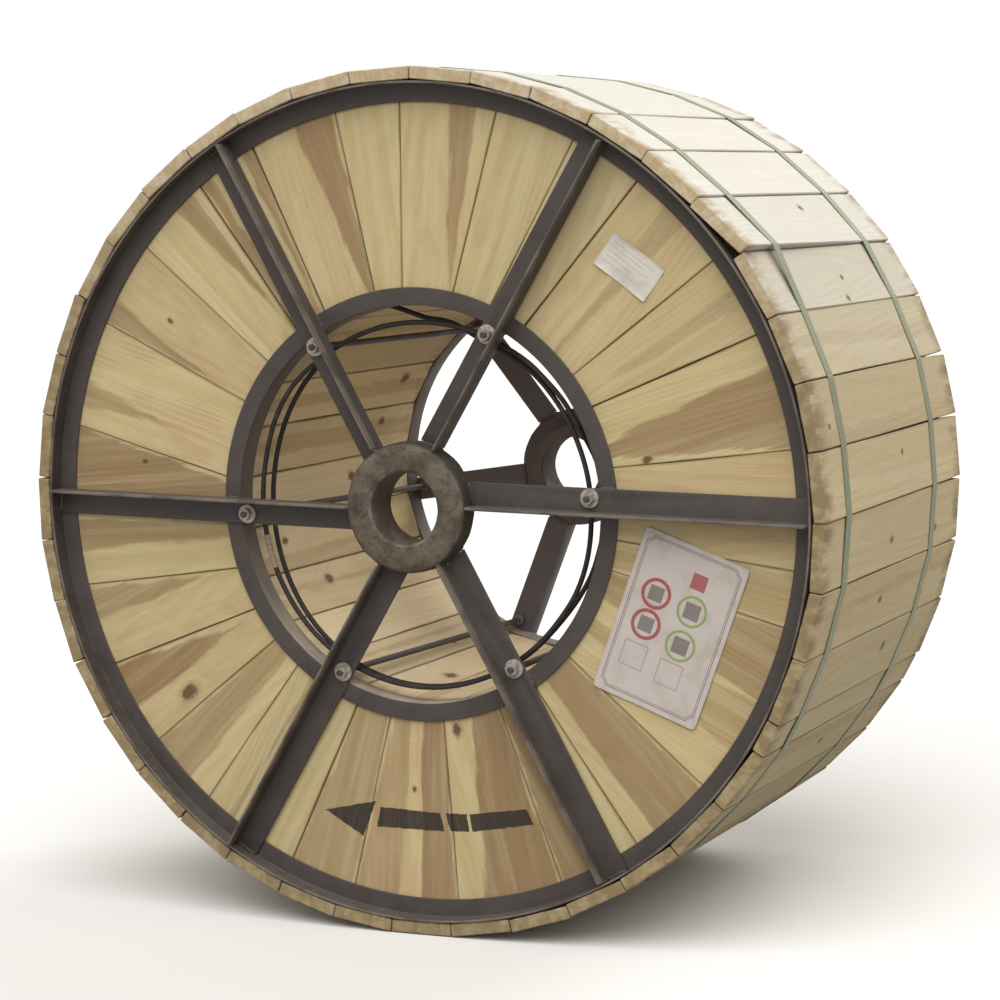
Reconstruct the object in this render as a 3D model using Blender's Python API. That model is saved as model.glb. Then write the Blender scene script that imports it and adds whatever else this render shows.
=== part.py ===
"""Cable reel with steel-spoked timber flanges, a stave barrel and a closed skin of lagging boards.

The axle axis lies along Y and the front flange faces -Y. The origin is on the floor, under the
middle of the overall depth. Lengths are in metres. Angles are in degrees from +X,
counter-clockwise as seen from the front. A depth is measured from the front ends of the lagging
boards towards the middle of the drum, so what stands outside the boards has a negative depth.
The rear flange is built like the front one, turned round to face +Y, and set further in from the
rear board ends. Its depths are measured from its own outer plane.
"""

import math

import bmesh
import bpy
from mathutils import Matrix, Vector

GAP = 0.0003                 # kept between pieces that touch
EDGE = 0.0003                # how far a joint groove's walls lean

# Drum
DRUM_WIDTH = 0.724           # over the ends of the lagging boards
RIM_RADIUS = 0.653           # outside of the steel rim
RING_RADIUS = 0.311          # inside of the inner steel ring, and of the barrel
REAR_SETBACK = 0.026         # how much further in from the board ends the rear flange sits

# Rolled steel angle of the rim and the inner ring
RIM_FLAT = 0.0313            # leg that lies on the planks
RIM_LIP_DEPTH = 0.001        # outer edge of the lip, behind the board ends
RIM_FLAT_DEPTH = 0.030       # face of the flat leg, behind the board ends
RING_FLAT = 0.028
ANGLE_WALL = 0.0037
TURNED_STEPS = 96

# Flange planks
PLANK_THICKNESS = 0.036
PLANK_STEP = 6.0             # longest straight piece of a plank's round edge, degrees
PLANK_GROOVE = 0.003
PLANK_GROOVE_DEPTH = 0.009
# Each joint between planks: its angle at the rim and at the inner ring.
PLANK_JOINTS = (
    (8.4, 11.0), (24.7, 27.6), (36.6, 36.9), (51.9, 55.8), (63.0, 66.5), (75.4, 77.7),
    (90.6, 92.4), (101.1, 100.4), (115.5, 116.5), (126.0, 126.2), (139.0, 138.6),
    (152.5, 151.5), (168.5, 173.9), (192.8, 199.1), (205.5, 211.0), (219.0, 220.5),
    (230.9, 229.6), (247.0, 250.5), (257.8, 260.6), (274.7, 276.2), (291.5, 293.0),
    (304.8, 304.8), (318.2, 317.7), (344.0, 344.0), (352.0, 352.0),
)

# Barrel staves
STAVE_COUNT = 24
STAVE_THICKNESS = 0.020
STAVE_GROOVE = 0.002
STAVE_GROOVE_DEPTH = 0.006
STAVE_TURN = 8.2             # angle of the first joint
NOTCH_WIDTH = 0.120          # opening in the stave ends where the cable's inner end comes in
NOTCH_DEPTH = 0.026

# Lagging boards: equal boards and one narrow closing board
BOARD_COUNT = 40
BOARD_THICKNESS = 0.0195
CLOSING_BOARD = 4.6          # degrees
CLOSING_BOARD_PLACE = 7      # boards from the one the drum stands on
BOARD_GROOVE = 0.003
BOARD_GROOVE_DEPTH = 0.014

# Straps round the lagging
STRAP_WIDTH = 0.025
STRAP_THICKNESS = 0.001
FRONT_STRAP = (0.108, 0.018)     # middle, from the front board ends, and how far it wanders
REAR_STRAP = (0.159, -0.022)     # the same, from the rear board ends

# Spokes of equal angle iron, their heels beside the radial lines
SPOKE_COUNT = 6
SPOKE_LEG = 0.040
SPOKE_WALL = 0.004
SPOKE_END_CLEARANCE = 0.0015     # to the lip of the rim
# Angle of a flange's first radial line, and how far each spoke's heel lies from its own line, as
# seen facing that flange. One rear spoke is set off the pattern of the others.
FRONT_SPOKES = (-1.8, (0.002,) * SPOKE_COUNT)
REAR_SPOKES = (-7.5, (-0.0216, -0.0085) + (-0.0216,) * (SPOKE_COUNT - 2))

# Hub bushings
HUB_RADIUS = 0.1025
HUB_BORE = 0.0545
HUB_STANDOUT = 0.013             # beyond the board ends
HUB_CHAMFER = (0.0175, 0.006)    # radial, axial
HUB_MOUTH = (0.004, 0.008)       # radial, axial widening of the bore's mouth
SLEEVE_RADIUS = 0.075
SLEEVE_DEPTH = 0.057
HUB_STEPS = 48

# Tie rods with their nuts and washers
ROD_DIAMETER = 0.010
ROD_INSET = 0.014                # rod axis inside the barrel's wall
ROD_FROM_HEEL = 0.0245           # rod axis from the spoke's heel
ROD_HOLE_CLEARANCE = 0.0005
ROD_STANDOUT = 0.005             # beyond the nut
NUT_FLATS = 0.017
NUT_HEIGHT = 0.009
WASHER_DIAMETER = 0.030
WASHER_THICKNESS = 0.003
ROD_SIDES = 12

# Wound cable, and its inner end coiled behind the front spokes
WINDING_FREEBOARD = 0.093        # from the winding to the lagging
WINDING_CLEARANCE = 0.001        # to the flange planks
CABLE_DIAMETER = 0.008
TAIL_POINTS = 80
TAIL_START = 110.0               # angle where the cable comes through the barrel
TAIL_SWEEP = 705.0               # degrees, clockwise
TAIL_ENTRY_SWEEP = 24.0          # over which it comes down from the notch onto the rods
# Places along the coiled end's sweep: its depth, and how far inside the tie rods it lies. A negative
# one is a bulge between two rods.
TAIL_ROUTE = (
    (0.0, 0.086, 0.0), (24.0, 0.082, 0.0), (45.0, 0.058, 0.010), (68.0, 0.060, 0.0065),
    (88.0, 0.060, 0.006), (107.0, 0.059, 0.004), (137.0, 0.060, 0.0), (150.0, 0.053, 0.0),
    (202.0, 0.046, 0.0), (300.0, 0.062, 0.0), (328.0, 0.050, 0.0), (350.0, 0.056, 0.004),
    (385.0, 0.058, 0.004), (409.0, 0.050, 0.0), (425.0, 0.044, -0.006), (440.0, 0.052, -0.007),
    (462.0, 0.100, 0.0003), (472.0, 0.108, 0.0), (488.0, 0.098, 0.0), (515.0, 0.064, 0.0),
    (562.0, 0.057, 0.0), (660.0, 0.096, 0.0), (705.0, 0.084, 0.0),
)

# Card and paper label on the front planks: width, height, thickness, corner radius
CARD_SIZE = (0.175, 0.263, 0.0008, 0.006)
LABEL_SIZE = (0.099, 0.058, 0.0004, 0.002)
CARD_BAND = 0.282            # least width of bare planks that takes both at these sizes
# Their middles: outwards from midway between the ring and the rim, angle round the axis, and turn
CARD_PLACE = (-0.025, -22.9, -21.0)
LABEL_PLACE = (0.036, 44.8, -37.0)

# Worked out from the sizes above
HALF_WIDTH = DRUM_WIDTH / 2
REAR_REACH = max(HUB_STANDOUT - REAR_SETBACK, 0.0)    # of the rear hub, beyond the board ends
AXIS_Y = (HUB_STANDOUT - REAR_REACH) / 2
PLANK_FRONT = RIM_FLAT_DEPTH + ANGLE_WALL + GAP
PLANK_BACK = PLANK_FRONT + PLANK_THICKNESS
SPOKE_BACK = RIM_FLAT_DEPTH - GAP
SPOKE_FACE = SPOKE_BACK - SPOKE_WALL
BARREL_END = PLANK_BACK + GAP
BOARD_SEAT = RIM_RADIUS + GAP
BOARD_FACE = BOARD_SEAT + BOARD_THICKNESS
STRAP_SEAT = BOARD_FACE + GAP
AXIS_HEIGHT = STRAP_SEAT + STRAP_THICKNESS
ROD_CIRCLE = RING_RADIUS - ROD_INSET
TAIL_RADIUS = ROD_CIRCLE - ROD_DIAMETER / 2 - CABLE_DIAMETER / 2 - GAP
BOARD_PITCH = (360.0 - CLOSING_BOARD) / BOARD_COUNT
WINDING_RADIUS = BOARD_SEAT - WINDING_FREEBOARD
CARD_CIRCLE = (RING_RADIUS + RING_FLAT + RIM_RADIUS - RIM_FLAT) / 2
BARE_BAND = RIM_RADIUS - RIM_FLAT - RING_RADIUS - RING_FLAT
CARD_SCALE = min(1.0, BARE_BAND / CARD_BAND)
FRONT_FACING = Matrix.Identity(4)
REAR_FACING = Matrix.Translation((0.0, -REAR_SETBACK, 0.0)) @ Matrix.Rotation(math.pi, 4, "Z")


# ---------------------------------------------------------------- helpers

def clear_scene():
    for obj in list(bpy.data.objects):
        bpy.data.objects.remove(obj, do_unlink=True)


def material(name, color, roughness, metallic=0.0):
    made = bpy.data.materials.new(name)
    made.use_nodes = True
    shader = made.node_tree.nodes["Principled BSDF"]
    shader.inputs["Base Color"].default_value = (*color, 1.0)
    shader.inputs["Roughness"].default_value = roughness
    shader.inputs["Metallic"].default_value = metallic
    return made


def at(radius, angle, y):
    """A point at a radius and angle round the axle axis."""
    turn = math.radians(angle)
    return Vector((radius * math.cos(turn), y, radius * math.sin(turn)))


def front(depth):
    """Y of a depth at the front flange."""
    return depth - HALF_WIDTH


def rear(depth):
    """Y of a depth at the rear flange."""
    return HALF_WIDTH - REAR_SETBACK - depth


def mesh_from(bm, name, smooth_angle=None):
    bmesh.ops.recalc_face_normals(bm, faces=bm.faces)
    mesh = bpy.data.meshes.new(name)
    bm.to_mesh(mesh)
    bm.free()
    if smooth_angle is not None:
        mesh.shade_smooth()
        mesh.set_sharp_from_angle(angle=math.radians(smooth_angle))
    return mesh


def place(name, mesh, look, axis, facing=FRONT_FACING, turn=0.0):
    """An object on the drum's axis, turned about it and then put on the flange that it faces."""
    if not mesh.materials:
        mesh.materials.append(look)
    obj = bpy.data.objects.new(name, mesh)
    bpy.context.scene.collection.objects.link(obj)
    obj.parent = axis
    obj.matrix_basis = facing @ Matrix.Rotation(math.radians(-turn), 4, "Y")
    return obj


def turned_mesh(name, profile, steps):
    """A closed profile of (radius, y) points turned about the axle axis."""
    bm = bmesh.new()
    verts = [bm.verts.new((radius, y, 0.0)) for radius, y in profile]
    edges = [bm.edges.new((verts[i - 1], verts[i])) for i in range(len(verts))]
    bmesh.ops.spin(bm, geom=verts + edges, cent=(0, 0, 0), axis=(0, 1, 0),
                   angle=math.tau, steps=steps, use_duplicate=False)
    bmesh.ops.remove_doubles(bm, verts=bm.verts, dist=0.00001)
    return mesh_from(bm, name, 30.0)


def closed_strip_mesh(name, columns, smooth_angle=None):
    """Loops of points joined one to the next, the last one back to the first."""
    bm = bmesh.new()
    loops = [[bm.verts.new(point) for point in column] for column in columns]
    for i, loop in enumerate(loops):
        before = loops[i - 1]
        for k in range(len(loop)):
            bm.faces.new((before[k - 1], before[k], loop[k], loop[k - 1]))
    return mesh_from(bm, name, smooth_angle)


def lofted_mesh(name, loops, smooth_angle=None):
    """Loops of points joined one to the next, with both ends capped."""
    bm = bmesh.new()
    rows = [[bm.verts.new(point) for point in loop] for loop in loops]
    for before, row in zip(rows, rows[1:]):
        for k in range(len(row)):
            bm.faces.new((before[k - 1], before[k], row[k], row[k - 1]))
    bm.faces.new(rows[0])
    bm.faces.new(rows[-1])
    return mesh_from(bm, name, smooth_angle)


def groove_angles(angle, width, radius):
    """The four angles of a joint groove: its edges and the two corners of its floor."""
    half = math.degrees(width / 2 / radius)
    lean = math.degrees(EDGE / radius)
    return (angle - half, angle - half + lean, angle + half - lean, angle + half)


# ---------------------------------------------------------------- flange steelwork

def rim_mesh():
    """Outer angle ring: a flat leg on the planks and a lip that stands outwards."""
    inside = RIM_RADIUS - RIM_FLAT
    lip_inside = RIM_RADIUS - ANGLE_WALL
    back = RIM_FLAT_DEPTH + ANGLE_WALL
    profile = [(inside, front(back)), (inside, front(RIM_FLAT_DEPTH)),
               (lip_inside, front(RIM_FLAT_DEPTH)), (lip_inside, front(RIM_LIP_DEPTH)),
               (RIM_RADIUS, front(RIM_LIP_DEPTH)), (RIM_RADIUS, front(back))]
    return turned_mesh("outer_rim", profile, TURNED_STEPS)


def ring_mesh():
    """Inner angle ring: a flat leg on the planks and a lip through them to the barrel."""
    outside = RING_RADIUS + RING_FLAT
    lip_outside = RING_RADIUS + ANGLE_WALL
    flat_back = RIM_FLAT_DEPTH + ANGLE_WALL
    profile = [(RING_RADIUS, front(RIM_FLAT_DEPTH)), (outside, front(RIM_FLAT_DEPTH)),
               (outside, front(flat_back)), (lip_outside, front(flat_back)),
               (lip_outside, front(PLANK_BACK)), (RING_RADIUS, front(PLANK_BACK))]
    return turned_mesh("inner_ring", profile, TURNED_STEPS)


def hub_mesh():
    """Bushing: a chamfered collar outside, a narrower sleeve inside and a bore with a wide mouth."""
    chamfer_in, chamfer_back = HUB_CHAMFER
    mouth_out, mouth_back = HUB_MOUTH
    profile = [(HUB_BORE + mouth_out, front(-HUB_STANDOUT)),
               (HUB_RADIUS - chamfer_in, front(-HUB_STANDOUT)),
               (HUB_RADIUS, front(chamfer_back - HUB_STANDOUT)),
               (HUB_RADIUS, front(SPOKE_BACK)),
               (SLEEVE_RADIUS, front(SPOKE_BACK)),
               (SLEEVE_RADIUS, front(SLEEVE_DEPTH)),
               (HUB_BORE, front(SLEEVE_DEPTH)),
               (HUB_BORE, front(mouth_back - HUB_STANDOUT))]
    return turned_mesh("hub", profile, HUB_STEPS)


def spoke_mesh(name, heel):
    """Angle iron along +X: a flat leg on the rings and a leg at its heel that stands outwards.

    Its inner end lies along the hub's tangent and its outer end is square, inside the rim's lip.
    """
    toe = heel + SPOKE_LEG
    outer_face = SPOKE_BACK - SPOKE_LEG
    section = [(heel, SPOKE_BACK), (toe, SPOKE_BACK), (toe, SPOKE_FACE),
               (heel + SPOKE_WALL, SPOKE_FACE), (heel + SPOKE_WALL, outer_face), (heel, outer_face)]
    seat = HUB_RADIUS + GAP
    tilt = math.asin((heel + toe) / 2 / seat)
    reach = RIM_RADIUS - ANGLE_WALL - SPOKE_END_CLEARANCE
    end = math.sqrt(reach ** 2 - max(abs(heel), abs(toe)) ** 2)
    inner = [Vector(((seat - z * math.sin(tilt)) / math.cos(tilt), front(d), z)) for z, d in section]
    outer = [Vector((end, front(d), z)) for z, d in section]
    return lofted_mesh(name, [inner, outer])


def spoke_angle(spokes, k):
    """Angle of a spoke's radial line, as seen facing its flange."""
    return spokes[0] + k * 360.0 / SPOKE_COUNT


def rod_angle(spokes, k):
    """Angle of a spoke's tie rod, as seen facing its flange."""
    heel = spokes[1][k]
    return spoke_angle(spokes, k) + math.degrees(math.asin((heel + ROD_FROM_HEEL) / ROD_CIRCLE))


def make_spokes(side, spokes, facing, axis, look):
    """Six spokes of one flange, each with its rod hole."""
    heels = spokes[1]
    meshes = {heel: spoke_mesh("spoke_" + side, heel) for heel in heels}
    cutter = make_rod_cutter(side, spokes, facing, axis)
    for k, heel in enumerate(heels):
        turn = spoke_angle(spokes, k)
        spoke = place(f"spoke_{side}_{k + 1}", meshes[heel], look, axis, facing, turn)
        hole = spoke.modifiers.new("rod_hole", "BOOLEAN")
        hole.operation = "DIFFERENCE"
        hole.solver = "EXACT"
        hole.object = cutter


def make_rod_cutter(side, spokes, facing, axis):
    """The six rod holes of one flange, as cylinders that run through the spokes' flat legs."""
    bm = bmesh.new()
    radius = ROD_DIAMETER / 2 + ROD_HOLE_CLEARANCE
    for k in range(SPOKE_COUNT):
        centre = at(ROD_CIRCLE, rod_angle(spokes, k), front(SPOKE_FACE))
        stand = Matrix.Translation(centre) @ Matrix.Rotation(math.radians(90.0), 4, "X")
        bmesh.ops.create_cone(bm, cap_ends=True, segments=2 * ROD_SIDES, radius1=radius,
                              radius2=radius, depth=4 * SPOKE_WALL, matrix=stand)
    cutter = place("rod_holes_" + side, mesh_from(bm, "rod_holes"), None, axis, facing)
    cutter.hide_render = True
    cutter.display_type = "WIRE"
    return cutter


def make_tie_rods(axis, look):
    """Rods through both flanges: a washer and a nut outside each spoke, and a nut inside it."""
    thread = ROD_DIAMETER / 2
    washer = WASHER_DIAMETER / 2
    face = SPOKE_FACE - GAP
    washer_face = face - WASHER_THICKNESS
    nut_face = washer_face - NUT_HEIGHT
    inner_nut = SPOKE_BACK + GAP
    inner_nut_end = inner_nut + NUT_HEIGHT
    # One end, from its tip inwards: depth, radius, and whether that loop is a hexagon.
    half = [(nut_face - ROD_STANDOUT, thread, False), (nut_face, thread, False),
            (nut_face, NUT_FLATS / 2, True), (washer_face, NUT_FLATS / 2, True),
            (washer_face, washer, False), (face, washer, False),
            (face, thread, False), (inner_nut, thread, False),
            (inner_nut, NUT_FLATS / 2, True), (inner_nut_end, NUT_FLATS / 2, True),
            (inner_nut_end, thread, False)]
    for k in range(SPOKE_COUNT):
        behind = (SPOKE_COUNT // 2 - k) % SPOKE_COUNT    # the rear spokes run the other way round
        near = rod_angle(FRONT_SPOKES, k)
        far = 180.0 - rod_angle(REAR_SPOKES, behind)
        start = at(ROD_CIRCLE, near, 0.0)
        stop = at(ROD_CIRCLE, far, 0.0)
        loops = [rod_loop(start, front(depth), radius, hexagon, near)
                 for depth, radius, hexagon in half]
        loops += [rod_loop(stop, rear(depth), radius, hexagon, far)
                  for depth, radius, hexagon in reversed(half)]
        mesh = lofted_mesh(f"tie_rod_{k + 1}", loops, 35.0)
        place(f"tie_rod_{k + 1}", mesh, look, axis)


def rod_loop(centre, y, radius, hexagon, turn):
    """Twelve points round a rod's axis: a circle, or a hexagon with a flat towards the rim."""
    points = []
    for i in range(ROD_SIDES):
        angle = 360.0 * i / ROD_SIDES
        corner = hexagon and i % 2 == 1
        reach = radius / math.cos(math.radians(30.0)) if corner else radius
        points.append(centre + at(reach, turn + angle, y))
    return points


# ---------------------------------------------------------------- timber

def planks_mesh():
    """Flange planks as one ring, with the joints cut into both faces."""
    outside = BOARD_SEAT - 2 * GAP
    inside = (RING_RADIUS + ANGLE_WALL + GAP) / math.cos(math.radians(PLANK_STEP / 2))
    columns = []

    def column(outer_angle, inner_angle, cut):
        near = front(PLANK_FRONT + cut)
        far = front(PLANK_BACK - cut)
        columns.append([at(outside, outer_angle, near), at(outside, outer_angle, far),
                        at(inside, inner_angle, far), at(inside, inner_angle, near)])

    for i, (outer, inner) in enumerate(PLANK_JOINTS):
        next_outer, next_inner = PLANK_JOINTS[(i + 1) % len(PLANK_JOINTS)]
        outer_set = groove_angles(outer, PLANK_GROOVE, outside)
        inner_set = groove_angles(inner, PLANK_GROOVE, inside)
        cuts = (0.0, PLANK_GROOVE_DEPTH, PLANK_GROOVE_DEPTH, 0.0)
        for a, b, cut in zip(outer_set, inner_set, cuts):
            column(a, b, cut)
        outer_span = (next_outer - outer) % 360.0
        inner_span = (next_inner - inner) % 360.0
        pieces = math.ceil(max(outer_span, inner_span) / PLANK_STEP)
        for j in range(1, pieces):
            column(outer + outer_span * j / pieces, inner + inner_span * j / pieces, 0.0)
    return closed_strip_mesh("flange_planks", columns)


def barrel_mesh():
    """Barrel staves as one tube of flat staves, with the joints cut into both faces."""
    pitch = 360.0 / STAVE_COUNT
    lengthen = 1.0 / math.cos(math.radians(pitch / 2))
    near = front(BARREL_END)
    far = rear(BARREL_END)
    columns = []
    for i in range(STAVE_COUNT):
        angles = groove_angles(STAVE_TURN + i * pitch, STAVE_GROOVE, RING_RADIUS)
        cuts = (0.0, STAVE_GROOVE_DEPTH, STAVE_GROOVE_DEPTH, 0.0)
        for angle, cut in zip(angles, cuts):
            inside = RING_RADIUS * lengthen + cut
            outside = (RING_RADIUS + STAVE_THICKNESS) * lengthen - cut
            columns.append([at(inside, angle, near), at(inside, angle, far),
                            at(outside, angle, far), at(outside, angle, near)])
    return closed_strip_mesh("barrel_staves", columns)


def make_barrel(axis, look):
    """The barrel, with a notch in the front stave ends where the cable's inner end comes in."""
    barrel = place("barrel_staves", barrel_mesh(), look, axis)
    bm = bmesh.new()
    bmesh.ops.create_cube(bm, size=1.0)
    height = 4 * STAVE_THICKNESS
    bmesh.ops.scale(bm, verts=bm.verts, vec=(height, 2 * NOTCH_DEPTH, NOTCH_WIDTH))
    centre = Vector((RING_RADIUS, front(BARREL_END), -NOTCH_WIDTH / 4))
    bmesh.ops.translate(bm, verts=bm.verts, vec=centre)
    cutter = place("cable_notch", mesh_from(bm, "cable_notch"), None, axis, turn=TAIL_START)
    cutter.hide_render = True
    cutter.display_type = "WIRE"
    notch = barrel.modifiers.new("cable_notch", "BOOLEAN")
    notch.operation = "DIFFERENCE"
    notch.solver = "EXACT"
    notch.object = cutter


def board_joints():
    """Angles of the joints between lagging boards, from the board that the drum stands on."""
    joints = []
    angle = 270.0 - BOARD_PITCH / 2
    for i in range(BOARD_COUNT + 1):
        joints.append(angle)
        angle += CLOSING_BOARD if i == CLOSING_BOARD_PLACE else BOARD_PITCH
    return joints


def half_spans(joints, i):
    """Half of the angle that each of the two boards beside a joint covers."""
    after = joints[(i + 1) % len(joints)] - joints[i]
    before = joints[i] - joints[i - 1]
    return (before % 360.0) / 2, (after % 360.0) / 2


def lagging_mesh():
    """Lagging boards as one many-sided tube, with the joints cut into its face and its ends."""
    joints = board_joints()
    columns = []
    for i, joint in enumerate(joints):
        before, after = half_spans(joints, i)
        angles = groove_angles(joint, BOARD_GROOVE, BOARD_FACE)
        cuts = (0.0, BOARD_GROOVE_DEPTH, BOARD_GROOVE_DEPTH, 0.0)
        for angle, cut, half in zip(angles, cuts, (before, before, after, after)):
            reach = 1.0 / math.cos(math.radians(half - abs(angle - joint)))
            outside = BOARD_FACE * reach - cut
            inside = BOARD_SEAT * reach
            end = HALF_WIDTH - cut
            columns.append([at(outside, angle, -end), at(outside, angle, end),
                            at(inside, angle, end), at(inside, angle, -end)])
    return closed_strip_mesh("lagging_boards", columns)


# ---------------------------------------------------------------- straps, cable and card

def strap_mesh(name, middle, wander):
    """A flat band that bends at every board joint and wanders a little to either side."""
    joints = board_joints()
    columns = []
    for i, joint in enumerate(joints):
        reach = 1.0 / math.cos(math.radians(max(half_spans(joints, i))))
        y = middle + wander * math.sin(math.radians(joint))
        outside = (STRAP_SEAT + STRAP_THICKNESS) * reach
        inside = STRAP_SEAT * reach
        near = y - STRAP_WIDTH / 2
        far = y + STRAP_WIDTH / 2
        columns.append([at(outside, joint, near), at(outside, joint, far),
                        at(inside, joint, far), at(inside, joint, near)])
    return closed_strip_mesh(name, columns)


def winding_mesh():
    """The wound cable as one turned ring that fills the space on the barrel."""
    lengthen = 1.0 / math.cos(math.radians(180.0 / STAVE_COUNT))
    inside = (RING_RADIUS + STAVE_THICKNESS) * lengthen + GAP
    inside /= math.cos(math.pi / TURNED_STEPS)
    near = front(PLANK_BACK + WINDING_CLEARANCE)
    far = rear(PLANK_BACK + WINDING_CLEARANCE)
    profile = [(inside, near), (WINDING_RADIUS, near), (WINDING_RADIUS, far), (inside, far)]
    return turned_mesh("cable_winding", profile, TURNED_STEPS)


def smooth_step(t):
    t = min(max(t, 0.0), 1.0)
    return t * t * (3.0 - 2.0 * t)


def tail_place(sweep):
    """Depth of the coiled end at a sweep, and how far inside the tie rods it lies."""
    for (start, *before), (stop, *after) in zip(TAIL_ROUTE, TAIL_ROUTE[1:]):
        if sweep <= stop:
            t = smooth_step((sweep - start) / (stop - start))
            return [b + (a - b) * t for b, a in zip(before, after)]
    return TAIL_ROUTE[-1][1:]


def make_tail(axis, look):
    """The cable's inner end: through the notch, then round inside the tie rods."""
    curve = bpy.data.curves.new("cable_tail", "CURVE")
    curve.dimensions = "3D"
    curve.bevel_depth = CABLE_DIAMETER / 2
    curve.bevel_resolution = 2
    curve.use_fill_caps = True
    spline = curve.splines.new("POLY")
    spline.points.add(TAIL_POINTS - 1)
    entry = RING_RADIUS + STAVE_THICKNESS - CABLE_DIAMETER / 2
    for i, point in enumerate(spline.points):
        sweep = TAIL_SWEEP * i / (TAIL_POINTS - 1)
        drop = smooth_step(sweep / TAIL_ENTRY_SWEEP)
        depth, inset = tail_place(sweep)
        radius = entry + (TAIL_RADIUS - entry) * drop - inset
        point.co = (*at(radius, TAIL_START - sweep, front(depth)), 1.0)
    curve.materials.append(look)
    tail = bpy.data.objects.new("cable_tail", curve)
    bpy.context.scene.collection.objects.link(tail)
    tail.parent = axis


def make_card(name, size, where, axis, look):
    """A thin card with round corners, flat on the front planks."""
    width, height, thickness, corner = size
    outwards, angle, turn = where
    bm = bmesh.new()
    bmesh.ops.create_cube(bm, size=1.0)
    bmesh.ops.scale(bm, verts=bm.verts, vec=(width * CARD_SCALE, thickness, height * CARD_SCALE))
    upright = [e for e in bm.edges if abs(e.verts[0].co.y - e.verts[1].co.y) > thickness / 2]
    bmesh.ops.bevel(bm, geom=upright, offset=corner, segments=4, profile=0.5, affect="EDGES")
    card = place(name, mesh_from(bm, name), look, axis)
    circle = CARD_CIRCLE + outwards * CARD_SCALE
    middle = at(circle, angle, front(PLANK_FRONT - GAP - thickness / 2))
    card.matrix_basis = Matrix.Translation(middle) @ Matrix.Rotation(math.radians(-turn), 4, "Y")


# ---------------------------------------------------------------- the reel

def main():
    clear_scene()
    steel = material("dark_steel", (0.105, 0.094, 0.088), 0.55, 0.6)
    forged = material("weathered_steel", (0.19, 0.17, 0.15), 0.8, 0.4)
    zinc = material("zinc_fixings", (0.42, 0.39, 0.36), 0.45, 0.8)
    plank = material("flange_timber", (0.60, 0.47, 0.27), 0.75)
    stave = material("barrel_timber", (0.42, 0.31, 0.19), 0.8)
    board = material("lagging_timber", (0.72, 0.62, 0.44), 0.75)
    strapping = material("green_strapping", (0.19, 0.28, 0.14), 0.4)
    jacket = material("black_cable_jacket", (0.03, 0.03, 0.035), 0.45)
    cardboard = material("white_card", (0.62, 0.58, 0.56), 0.6)
    paper = material("label_paper", (0.70, 0.68, 0.66), 0.7)

    axis = bpy.data.objects.new("drum_axis", None)
    axis.location = (0.0, AXIS_Y, AXIS_HEIGHT)
    bpy.context.scene.collection.objects.link(axis)

    rim, ring, hub, planks = rim_mesh(), ring_mesh(), hub_mesh(), planks_mesh()
    flanges = (("front", FRONT_SPOKES, FRONT_FACING), ("rear", REAR_SPOKES, REAR_FACING))
    for side, spokes, facing in flanges:
        place("outer_rim_" + side, rim, steel, axis, facing)
        place("inner_ring_" + side, ring, steel, axis, facing)
        place("hub_" + side, hub, forged, axis, facing)
        place("flange_planks_" + side, planks, plank, axis, facing)
        make_spokes(side, spokes, facing, axis, steel)
    make_tie_rods(axis, zinc)

    make_barrel(axis, stave)
    place("lagging_boards", lagging_mesh(), board, axis)
    for name, (inset, wander), facing in (("strap_front", FRONT_STRAP, 1), ("strap_rear", REAR_STRAP, -1)):
        strap = strap_mesh(name, facing * front(inset), facing * wander)
        place(name, strap, strapping, axis)
    place("cable_winding", winding_mesh(), jacket, axis)
    make_tail(axis, jacket)
    make_card("placard", CARD_SIZE, CARD_PLACE, axis, cardboard)
    make_card("paper_label", LABEL_SIZE, LABEL_PLACE, axis, paper)


main()
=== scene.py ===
"""Looks of the cable reel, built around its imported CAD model.

Lengths are in metres. Angles are in degrees from the right, counter-clockwise as seen by someone
facing the flange. A depth runs from a flange's outer plane towards the middle of the drum.
"""

import math
import random
from collections import namedtuple

import bmesh
import bpy
from mathutils import Matrix, Vector, noise


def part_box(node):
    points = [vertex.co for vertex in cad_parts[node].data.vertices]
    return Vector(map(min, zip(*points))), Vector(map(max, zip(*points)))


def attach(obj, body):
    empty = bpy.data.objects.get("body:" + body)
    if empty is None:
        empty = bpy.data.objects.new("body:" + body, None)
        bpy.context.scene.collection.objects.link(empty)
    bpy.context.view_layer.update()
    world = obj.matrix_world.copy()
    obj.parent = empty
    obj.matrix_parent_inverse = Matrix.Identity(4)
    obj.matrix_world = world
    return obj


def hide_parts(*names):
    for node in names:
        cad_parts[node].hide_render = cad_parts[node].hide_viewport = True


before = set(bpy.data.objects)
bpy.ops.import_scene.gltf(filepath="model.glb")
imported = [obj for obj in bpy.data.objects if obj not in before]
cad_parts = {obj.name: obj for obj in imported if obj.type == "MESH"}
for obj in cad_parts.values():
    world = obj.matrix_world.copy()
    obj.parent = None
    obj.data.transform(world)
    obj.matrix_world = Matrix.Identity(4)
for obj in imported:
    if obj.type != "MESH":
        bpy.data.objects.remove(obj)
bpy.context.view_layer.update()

# ---------------------------------------------------------------- sizes read from the CAD model

AXIS_HEIGHT = (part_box("hub_front")[0].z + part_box("hub_front")[1].z) / 2
AXLE = Vector((0.0, 0.0, AXIS_HEIGHT))
BOARDS_LOW, BOARDS_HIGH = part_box("lagging_boards")
RIM_LIP_DEPTH = 0.001
RIM_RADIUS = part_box("outer_rim_front")[1].x
RING_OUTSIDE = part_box("inner_ring_front")[1].x
HUB_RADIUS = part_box("hub_front")[1].x

Side = namedtuple("Side", "name plane sign")
FRONT = Side("front", BOARDS_LOW.y, 1)
REAR = Side("rear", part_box("outer_rim_rear")[1].y + RIM_LIP_DEPTH, -1)
SIDES = (FRONT, REAR)

# ---------------------------------------------------------------- sizes of the finer detail

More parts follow.
